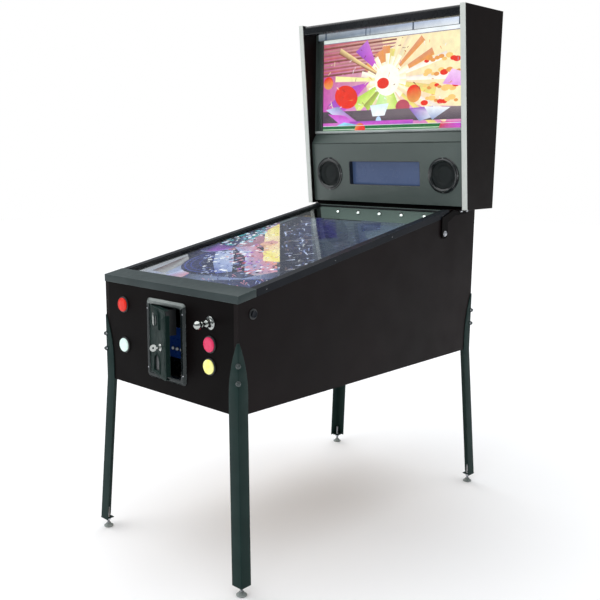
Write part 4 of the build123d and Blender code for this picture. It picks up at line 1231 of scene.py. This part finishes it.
class Picture:
    """Flat coloured shapes laid over each other, drawn in millimetres from the lower left."""

    def __init__(self, place, wide, high, shift=(0, 0)):
        self.place, self.wide, self.high, self.shift = place, wide, high, shift
        self.bm = bmesh.new()
        self.paint = self.bm.loops.layers.float_color.new("paint")
        self.layer = 0

    def trimmed(self, outline):
        """What is left of an outline inside the picture's own rectangle."""
        for axis, limit, sign in ((0, 0, 1), (0, self.wide, -1), (1, 0, 1), (1, self.high, -1)):
            kept = []
            for start, end in zip(outline, outline[1:] + outline[:1]):
                here, there = (start[axis] - limit) * sign, (end[axis] - limit) * sign
                if here >= 0:
                    kept.append(start)
                if here * there < 0:
                    share = here / (here - there)
                    kept.append(tuple(a + (b - a) * share for a, b in zip(start, end)))
            outline = kept
        return outline

    def shape(self, outline, *colours):
        """One shape. Several colours are spread over its corners in turn."""
        outline = self.trimmed([(x + self.shift[0], y + self.shift[1]) for x, y in outline])
        if len(outline) < 3:
            return
        self.layer += 1
        corners = [Vector((x, y, self.layer * LAYER_RISE)) * MM for x, y in outline]
        face = self.bm.faces.new([self.bm.verts.new(self.place @ corner) for corner in corners])
        for step, loop in enumerate(face.loops):
            loop[self.paint] = (*colours[step * len(colours) // len(outline)], 1)

    def rectangle(self, low, high, *colours):
        self.shape(((low[0], low[1]), (high[0], low[1]), (high[0], high[1]), (low[0], high[1])),
            *colours)

    def disc(self, centre, radius, *colours, squash=1.0, lean=0.0, steps=36):
        """A disc, squashed in height and leant by an angle in radians."""
        outline = []
        for x, y in arc((0, 0), radius, 0, 360 - 360 / steps, steps - 1):
            y *= squash
            turned = (x * cos(lean) - y * sin(lean), x * sin(lean) + y * cos(lean))
            outline.append((centre[0] + turned[0], centre[1] + turned[1]))
        self.shape(outline, *colours)

    def ray(self, centre, angle, start, end, root, tip, *colours):
        """A tapering ray out from a centre, angles in degrees."""
        along = Vector((cos(radians(angle)), sin(radians(angle))))
        across = Vector((-along.y, along.x))
        centre = Vector(centre)
        near, far = centre + along * start, centre + along * end
        corners = (near - across * root / 2, far - across * tip / 2, far + across * tip / 2,
            near + across * root / 2)
        self.shape([tuple(corner) for corner in corners], *colours)

    def ring(self, centre, radius, width, start, end, *colours):
        """A band along an arc, all its pieces in one layer."""
        outline = arc(centre, radius + width / 2, start, end, 40)
        outline += arc(centre, radius - width / 2, start, end, 40)[::-1]
        count = len(outline)
        for step in range(count // 2 - 1):
            far = count - 1 - step
            self.shape((outline[step], outline[step + 1], outline[far - 1], outline[far]), *colours)
            self.layer -= 1
        self.layer += 1

    def piece(self, name, body, slot, material):
        mesh = bpy.data.meshes.new(name)
        self.bm.to_mesh(mesh)
        self.bm.free()
        place_piece(name, mesh, body, [material])


def blended(first, second, share):
    return tuple(a + (b - a) * share for a, b in zip(first, second))


NAVY = (0.006, 0.009, 0.030)
DEEP_BLUE = (0.016, 0.020, 0.085)
INDIGO = (0.030, 0.030, 0.13)
BLUE = (0.055, 0.080, 0.36)
SLATE = (0.060, 0.078, 0.125)
HAZE = (0.095, 0.130, 0.150)
PALE_SLATE = (0.15, 0.18, 0.25)
LILAC = (0.26, 0.33, 0.57)
PALE = (0.58, 0.66, 0.86)
WHITE = (0.92, 0.95, 0.98)
PALE_GREY = (0.36, 0.38, 0.40)
UMBER = (0.13, 0.095, 0.105)
PINK = (0.62, 0.28, 0.36)
ROSE = (0.50, 0.09, 0.13)
MAGENTA = (0.62, 0.10, 0.58)
PURPLE = (0.30, 0.09, 0.52)
TEAL = (0.04, 0.40, 0.44)
CYAN = (0.30, 0.70, 0.85)
YELLOW = (0.86, 0.76, 0.20)
CREAM = (0.95, 0.86, 0.52)
ORANGE = (0.80, 0.33, 0.09)
PEACH = (0.74, 0.46, 0.30)
SCARLET = (0.80, 0.045, 0.025)
MAROON = (0.20, 0.025, 0.035)
LIME = (0.50, 0.74, 0.10)
GREEN = (0.03, 0.16, 0.05)
GREY_VIOLET = (0.09, 0.07, 0.09)


def chip(picture, dice, x, y, reach, colour):
    """A small ragged three to five cornered fleck."""
    lean = dice.uniform(0, 2 * pi)
    corners = []
    for step in range(dice.choice((3, 4, 4, 5))):
        angle = lean + step * 1.45 + dice.uniform(-0.25, 0.25)
        away = reach * dice.uniform(0.5, 1.0)
        corners.append((x + away * cos(angle), y + away * sin(angle)))
    picture.shape(corners, colour)


def strewn(picture, dice, count, spread, start, run, lean, reach, palette):
    """Chips along a line from its start over its run, moved off it by the spread."""
    for _ in range(count):
        share, out = dice.random(), dice.uniform(*spread)
        x, y = (a + b * share + out * c for a, b, c in zip(start, run, lean))
        chip(picture, dice, x, y, dice.uniform(*reach), dice.choice(palette))


def playfield_picture():
    """An abstract playfield of discs and flecks. Its lighter front half, ending on a diagonal, and its pale
    front-left corner are painted reflection of the glass over the art.
    """
    face, wide, long = plate("playfield_screen", DECK_TILT)
    picture = Picture(face @ shifted(-wide / 2, -long / 2, 0.1), wide, long, (26, -24))
    draw, ray, disc, ring = picture.shape, picture.ray, picture.disc, picture.ring
    dice = random.Random(41)
    picture.rectangle((-60, -60), (wide + 60, long + 60), NAVY, SLATE, HAZE, SLATE)
    # The lighter front half, up to the diagonal: painted reflection of the glass over the art drawn on it.
    draw(((-60, 0), (wide, 0), (wide, 150), (425, 332), (7, 782), (-60, 855)), INDIGO, SLATE, SLATE,
        PINK, INDIGO, INDIGO)

    # The pale front-left corner: painted reflection of the glass.
    draw(((-60, 0), (235, 0), (205, 112), (163, 139), (-60, 380)), PALE_GREY, PALE_GREY, LILAC,
        PALE_GREY, PALE_GREY)
    draw(((24, 96), (100, 88), (66, 236), (0, 308), (0, 262)), UMBER, PALE_GREY, UMBER, PALE_GREY,
        UMBER)
    draw(((118, 60), (205, 30), (205, 112), (140, 160)), LILAC, PALE_GREY, PINK, PALE)
    draw(((-60, 330), (70, 233), (242, 87), (285, 120), (210, 330), (90, 400), (-60, 470)), NAVY, NAVY,
        NAVY, DEEP_BLUE, DEEP_BLUE, INDIGO, INDIGO)
    disc((215, 300), 178, NAVY, DEEP_BLUE, NAVY)
    for radius, thick in ((157, 5), (136, 3.5), (104, 3)):
        ring((205, 300), radius, thick, 150, 300, BLUE)
    for turn in range(155, 300, 12):
        ray((205, 300), turn, 96, 150, 2, 5, DEEP_BLUE, BLUE)
    draw(((70, 362), (122, 402), (212, 318), (336, 190), (296, 150), (176, 250)), LILAC, PALE, PALE,
        LILAC, BLUE, LILAC)
    strewn(picture, dice, 60, (-46, 46), (70, 372), (210, -210), (0.7, 0.7), (4, 15),
        (WHITE, PALE, LILAC, BLUE))
    disc((16, 430), 72, NAVY, INDIGO, PURPLE)
    ring((16, 430), 74, 5, 250, 360, LILAC)
    ring((16, 430), 50, 3, 0, 360, BLUE)

    draw(((92, 440), (163, 480), (399, 345), (500, 240), (462, 176), (372, 214), (240, 348)), LILAC,
        PINK, ORANGE, PINK, PALE_GREY, LILAC, PALE)
    strewn(picture, dice, 260, (-60, 95), (110, 440), (340, -240), (0.6, 0.8), (4, 16),
        (WHITE, PALE, PINK, PINK, ROSE, LILAC, LILAC, PURPLE, INDIGO, NAVY))
    draw(((-60, 470), (-60, 855), (60, 600), (74, 440)), NAVY, TEAL, INDIGO, NAVY)
    for _ in range(240):
        x, y = dice.uniform(-40, 105), dice.uniform(440, 790)
        palette = (TEAL, CYAN, CYAN, WHITE, WHITE, NAVY, PALE, INDIGO, LILAC)
        chip(picture, dice, x, y, dice.uniform(5, 16), dice.choice(palette))
    draw(((12, 776), (425, 332), (372, 318), (215, 470), (60, 640)), CREAM, PEACH, PINK, PEACH, CREAM)
    draw(((4, 782), (150, 624), (106, 590), (30, 690)), YELLOW, YELLOW, CREAM, YELLOW)
    draw(((262, 420), (292, 475), (425, 332), (352, 326)), YELLOW, CREAM, YELLOW, CREAM)
    disc((196, 520), 34, PINK, PEACH)
    strewn(picture, dice, 80, (-60, 0), (20, 768), (390, -420), (0.7, 0.7), (3, 10),
        (CREAM, ORANGE, PINK, WHITE, MAROON))
    draw(((205, 110), (440, 134), (500, 236), (wide, 150), (wide, 0), (235, 0)), SLATE, LILAC, SLATE,
        DEEP_BLUE, INDIGO, SLATE)
    for _ in range(70):
        x, y = dice.uniform(220, 560), dice.uniform(20, 170)
        ray((x, y), dice.uniform(120, 160), 0, dice.uniform(8, 40), 1.5, dice.uniform(2, 6),
            dice.choice((LILAC, INDIGO, PINK, BLUE, PALE_GREY)))

    # The dark rear field behind the diagonal, where the painted reflection ends.
    draw(((7, 782), (425, 332), (wide, 150), (wide, 300), (455, 470), (0, 980)), NAVY, NAVY, NAVY,
        DEEP_BLUE, DEEP_BLUE, NAVY)
    for _ in range(150):
        share, out = dice.random(), dice.uniform(12, 110)
        x, y = 7 + 500 * share + out * 0.72, 782 - 540 * share + out * 0.7
        turn = dice.choice((40, 130, 132, 46)) + dice.uniform(-12, 12)
        ray((x, y), turn, 0, dice.uniform(10, 44), 2.5, dice.uniform(3, 11),
            dice.choice((PALE_GREY, LILAC, PALE, SLATE, UMBER, INDIGO)))
    draw(((150, 885), (200, 905), (405, 665), (372, 620)), INDIGO, SLATE, INDIGO, NAVY)
    draw(((100, 905), (128, 922), (372, 640), (345, 612)), INDIGO, NAVY, INDIGO, NAVY)
    draw(((300, 940), (wide, 940), (wide, 640), (520, 690)), HAZE, PALE_SLATE, HAZE, SLATE)
    draw(((350, 870), (430, 900), (500, 800), (440, 770)), SLATE, DEEP_BLUE, SLATE, NAVY)
    for _ in range(120):
        x, y = dice.uniform(120, wide - 12), dice.uniform(520, long - 30)
        if x / wide + y / long > 1.05:
            ray((x, y), dice.uniform(0, 180), 0, dice.uniform(4, 16), 1.5, dice.uniform(1.5, 4),
                dice.choice((SLATE, HAZE, LILAC, BLUE)))
    picture.piece("playfield_picture_face", "cabinet", "screen_face", PLAYFIELD_PAINT)


def backglass_picture():
    """An abstract backglass: stripes, a burst of rays, discs and a banded foot, under a pale top band and a
    pale strip above it that are painted reflection of the glass.
    """
    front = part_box("backglass_screen")[0].y / MM
    wide, high, level = *BACKGLASS_SIZE, BACKGLASS_LEVEL
    centre = facing_front(Vector((0, front + 1, level)) * MM)
    picture = Picture(centre @ shifted(-wide / 2, -high / 2, 0.05), wide, high)
    draw, ray, disc, ring = picture.shape, picture.ray, picture.disc, picture.ring
    block = picture.rectangle
    dice = random.Random(17)
    block((0, 0), (wide, high), MAGENTA, (0.7, 0.2, 0.5), CREAM, (0.5, 0.12, 0.16))
    draw(((300, 393), (698, 393), (698, 90), (380, 110)), (0.95, 0.75, 0.45), CREAM, CREAM,
        (0.95, 0.6, 0.5))
    for step in range(11):
        foot = 238 + step * 14
        colour = (MAROON, ROSE, (0.34, 0.07, 0.1), (0.45, 0.16, 0.2))[step % 4]
        reach = 250 + step * 17
        draw(((0, foot), (reach, foot + 10), (reach + 30, foot + 17), (0, foot + 9)), colour,
            blended(colour, CREAM, 0.15))
    burst = (338, 208)
    for step in range(26):
        turn = step * 360 / 26 + dice.uniform(-4, 4)
        reach = dice.uniform(170, 340) if cos(radians(turn)) > 0.2 else dice.uniform(90, 135)
        warm = dice.choice((YELLOW, CREAM, (1, 0.98, 0.85), ORANGE))
        ray(burst, turn, 20, reach, 9, dice.uniform(22, 52), warm, blended(warm, PINK, 0.35))
    draw(((30, 120), (150, 190), (250, 205), (120, 92)), PURPLE, MAGENTA)
    draw(((175, 330), (300, 236), (235, 372)), PURPLE, MAGENTA, (0.6, 0.2, 0.7))
    for step in range(22):
        turn = step * 360 / 22 + 8
        ray(burst, turn, 10, dice.uniform(70, 112), 7, 22, (1, 0.99, 0.9), CREAM)
    for spoke in (
        (152, 60, 280, 10, 26, (0.95, 0.75, 0.35), MAROON),
        (176, 60, 270, 12, 24, (0.9, 0.92, 0.35), CREAM),
        (212, 50, 190, 20, 62, LIME, (0.8, 0.9, 0.3)),
        (226, 50, 150, 14, 34, (0.35, 0.35, 0.1), LIME),
        (330, 60, 330, 12, 30, (0.95, 0.7, 0.5), CREAM),
        (262, 30, 128, 40, 92, (0.55, 0.85, 0.3), (0.85, 0.95, 0.55)),
        (287, 30, 120, 26, 58, (0.8, 0.88, 0.35), LIME),
    ):
        ray(burst, *spoke)
    disc(burst, 62, (1.0, 0.97, 0.86))
    disc((318, 196), 30, SCARLET, squash=0.72)
    disc((128, 150), 62, SCARLET, squash=0.76, lean=-0.25)
    disc((30, 212), 26, SCARLET, ORANGE)
    disc((470, 148), 34, SCARLET, ORANGE)
    disc((418, 100), 34, ROSE, squash=0.8)
    ring((128, 150), 84, 3, 190, 330, CREAM)
    for step in range(4):
        low_edge = 118 + step * 52
        for blot in range(9):
            x = 520 + blot * 18 + dice.uniform(-6, 6)
            y = low_edge + dice.uniform(-9, 9)
            disc((x, y), dice.uniform(9, 19), dice.choice((ORANGE, (0.95, 0.6, 0.2), SCARLET)),
                squash=0.6, steps=14)
    draw(((600, 178), (696, 165), (696, 215), (640, 232)), (0.8, 0.35, 0.8), (0.9, 0.6, 0.9))
    block((0, 44), (wide, 92), GREY_VIOLET, (0.1, 0.08, 0.1), (0.25, 0.2, 0.22), GREY_VIOLET)
    draw(((18, 100), (84, 112), (200, 40), (110, 48)), PALE, LILAC, MAGENTA, PALE)
    draw(((30, 82), (120, 74), (196, 36), (96, 38)), MAGENTA, (0.7, 0.2, 0.8))
    draw(((255, 110), (350, 116), (330, 68), (270, 66)), (0.75, 0.9, 0.95), WHITE)
    draw(((450, 92), (500, 40), (590, 62), (560, 96)), PURPLE, LILAC, WHITE, PURPLE)
    draw(((520, 96), (640, 90), (560, 44)), WHITE, LILAC)
    disc((300, 40), 15, (0.5, 0.7, 0.95), squash=1.7)
    block((150, 30), (470, 48), MAGENTA, PURPLE, MAGENTA, PURPLE)
    draw(((60, 26), (120, 46), (190, 34), (150, 22)), CYAN, (0.2, 0.5, 0.7), WHITE)
    block((0, 8), (wide, 30), GREEN, (0.05, 0.3, 0.08), GREEN, (0.02, 0.15, 0.06))
    block((0, 15), (600, 17.5), (0.75, 0.85, 0.7))
    disc((205, 14), 27, SCARLET, ORANGE, SCARLET)
    draw(((590, 10), (690, 8), (694, 34), (600, 36)), ROSE, MAGENTA, (0.6, 0.1, 0.7), SCARLET)
    block((0, 30), (wide, 32), (0.75, 0.78, 0.8))
    block((0, 5), (wide, 8), (0.85, 0.9, 0.9))
    block((0, 0), (wide, 5), (0.04, 0.06, 0.05))
    block((0, 372), (wide, 375), (0.25, 0.2, 0.3))
    # The pale band along the top is painted reflection of the glass.
    block((0, 375), (wide, high), (0.72, 0.78, 0.75), (0.9, 0.95, 0.98), WHITE, (0.6, 0.66, 0.62))
    for _ in range(70):
        x, y = dice.uniform(20, wide - 20), dice.uniform(100, 350)
        ray((x, y), dice.uniform(0, 180), 0, dice.uniform(5, 20), 1.5, dice.uniform(1.5, 4),
            dice.choice((CREAM, ORANGE, MAROON, PINK, WHITE)))
    picture.piece("backglass_picture_face", "head", "picture_face", BACKGLASS_PAINT)
    # A pale strip above the picture, up to the head's top: painted reflection of the glass, drawn in the
    # picture's glowing paint.
    foot = level + high / 2 - 4
    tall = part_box("head_top")[0].z / MM - 1 - foot
    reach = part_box("backglass_surround")[1].x / MM - 9
    band = Picture(facing_front(Vector((-reach, front - 9.4, foot)) * MM), 2 * reach, tall)
    band.rectangle((0, 0), (2 * reach, tall), HAZE, WHITE, PALE, PALE_GREY)
    for share, wide_mark in ((0.05, 9), (0.34, 5), (0.37, 3), (0.65, 7), (0.93, 6)):
        x = share * 2 * reach
        band.rectangle((x, 0), (x + wide_mark, tall), SLATE, HAZE)
    band.rectangle((0, 0), (2 * reach, 1.6), GREY_VIOLET, HAZE)
    band.piece("backglass_painted_reflection_strip", "head", "picture_face", BACKGLASS_PAINT)


playfield_picture()
backglass_picture()

# ---- floor, light and camera ----


def studio():
    """A pale floor, and a world that is white to the camera and dimmer to everything else."""
    mesh = bpy.data.meshes.new("studio_floor")
    reach = 14
    mesh.from_pydata([(-reach, -reach, 0), (reach, -reach, 0), (reach, reach, 0), (-reach, reach, 0)],
        [], [(0, 1, 2, 3)])
    mesh.materials.append(surface("pale_floor", (0.96, 0.96, 0.97), (0.93, 0.93, 0.94), 0.6, (0.7, 0.8),
        120, 0.01))
    floor = in_scene("studio_floor", mesh)
    world = bpy.data.worlds.new("studio")
    world.use_nodes = True
    tree = world.node_tree
    seen = tree.nodes["Background"]
    put(seen, Color=(1, 1, 1, 1))
    room = add_node(tree, "Background")
    put(room, Color=(0.9, 0.96, 1, 1), Strength=0.26)
    path = add_node(tree, "LightPath")
    either = add_node(tree, "MixShader")
    link(tree, path.outputs["Is Camera Ray"], either.inputs["Fac"])
    link(tree, room.outputs["Background"], either.inputs[1])
    link(tree, seen.outputs["Background"], either.inputs[2])
    link(tree, either.outputs["Shader"], tree.nodes["World Output"].inputs["Surface"])
    bpy.context.scene.world = world


def soft_light(name, place, target, width, height, power):
    """A rectangular lamp that points at a target."""
    data = bpy.data.lights.new(name, "AREA")
    data.shape = "RECTANGLE"
    data.size, data.size_y = width, height
    data.energy = power
    light = in_scene(name, data)
    light.location = place
    aim = Vector(target) - Vector(place)
    light.rotation_euler = aim.to_track_quat("-Z", "Y").to_euler()


def overhead(turn, strength):
    """Broad even light from above."""
    data = bpy.data.lights.new("overhead", "SUN")
    data.energy = strength
    data.angle = radians(100)
    in_scene("overhead", data).rotation_euler = turn


SENSOR_WIDTH = 36
FOCAL_LENGTH = 50.094
LENS_SHIFT = (0.075, 0.0161)
EYE = (2.0898, -2.3151, 1.3527)
PITCH, YAW = radians(79.589), radians(45.024)


def camera():
    data = bpy.data.cameras.new("camera")
    data.sensor_width = SENSOR_WIDTH
    data.lens = FOCAL_LENGTH
    data.shift_x, data.shift_y = LENS_SHIFT
    data.clip_start = 0.05
    view = in_scene("camera", data)
    view.location = EYE
    view.rotation_euler = (PITCH, 0, YAW)
    bpy.context.scene.camera = view


studio()
soft_light("key", (-2.2, -3.4, 3.0), (0, -0.3, 0.9), 2.4, 2.0, 8)
soft_light("fill", (3.6, 0.8, 2.2), (0, 0, 1.0), 2.6, 2.6, 4)
overhead((radians(6), radians(-14), 0), 3.3)
camera()
bpy.context.scene.view_settings.view_transform = "Standard"
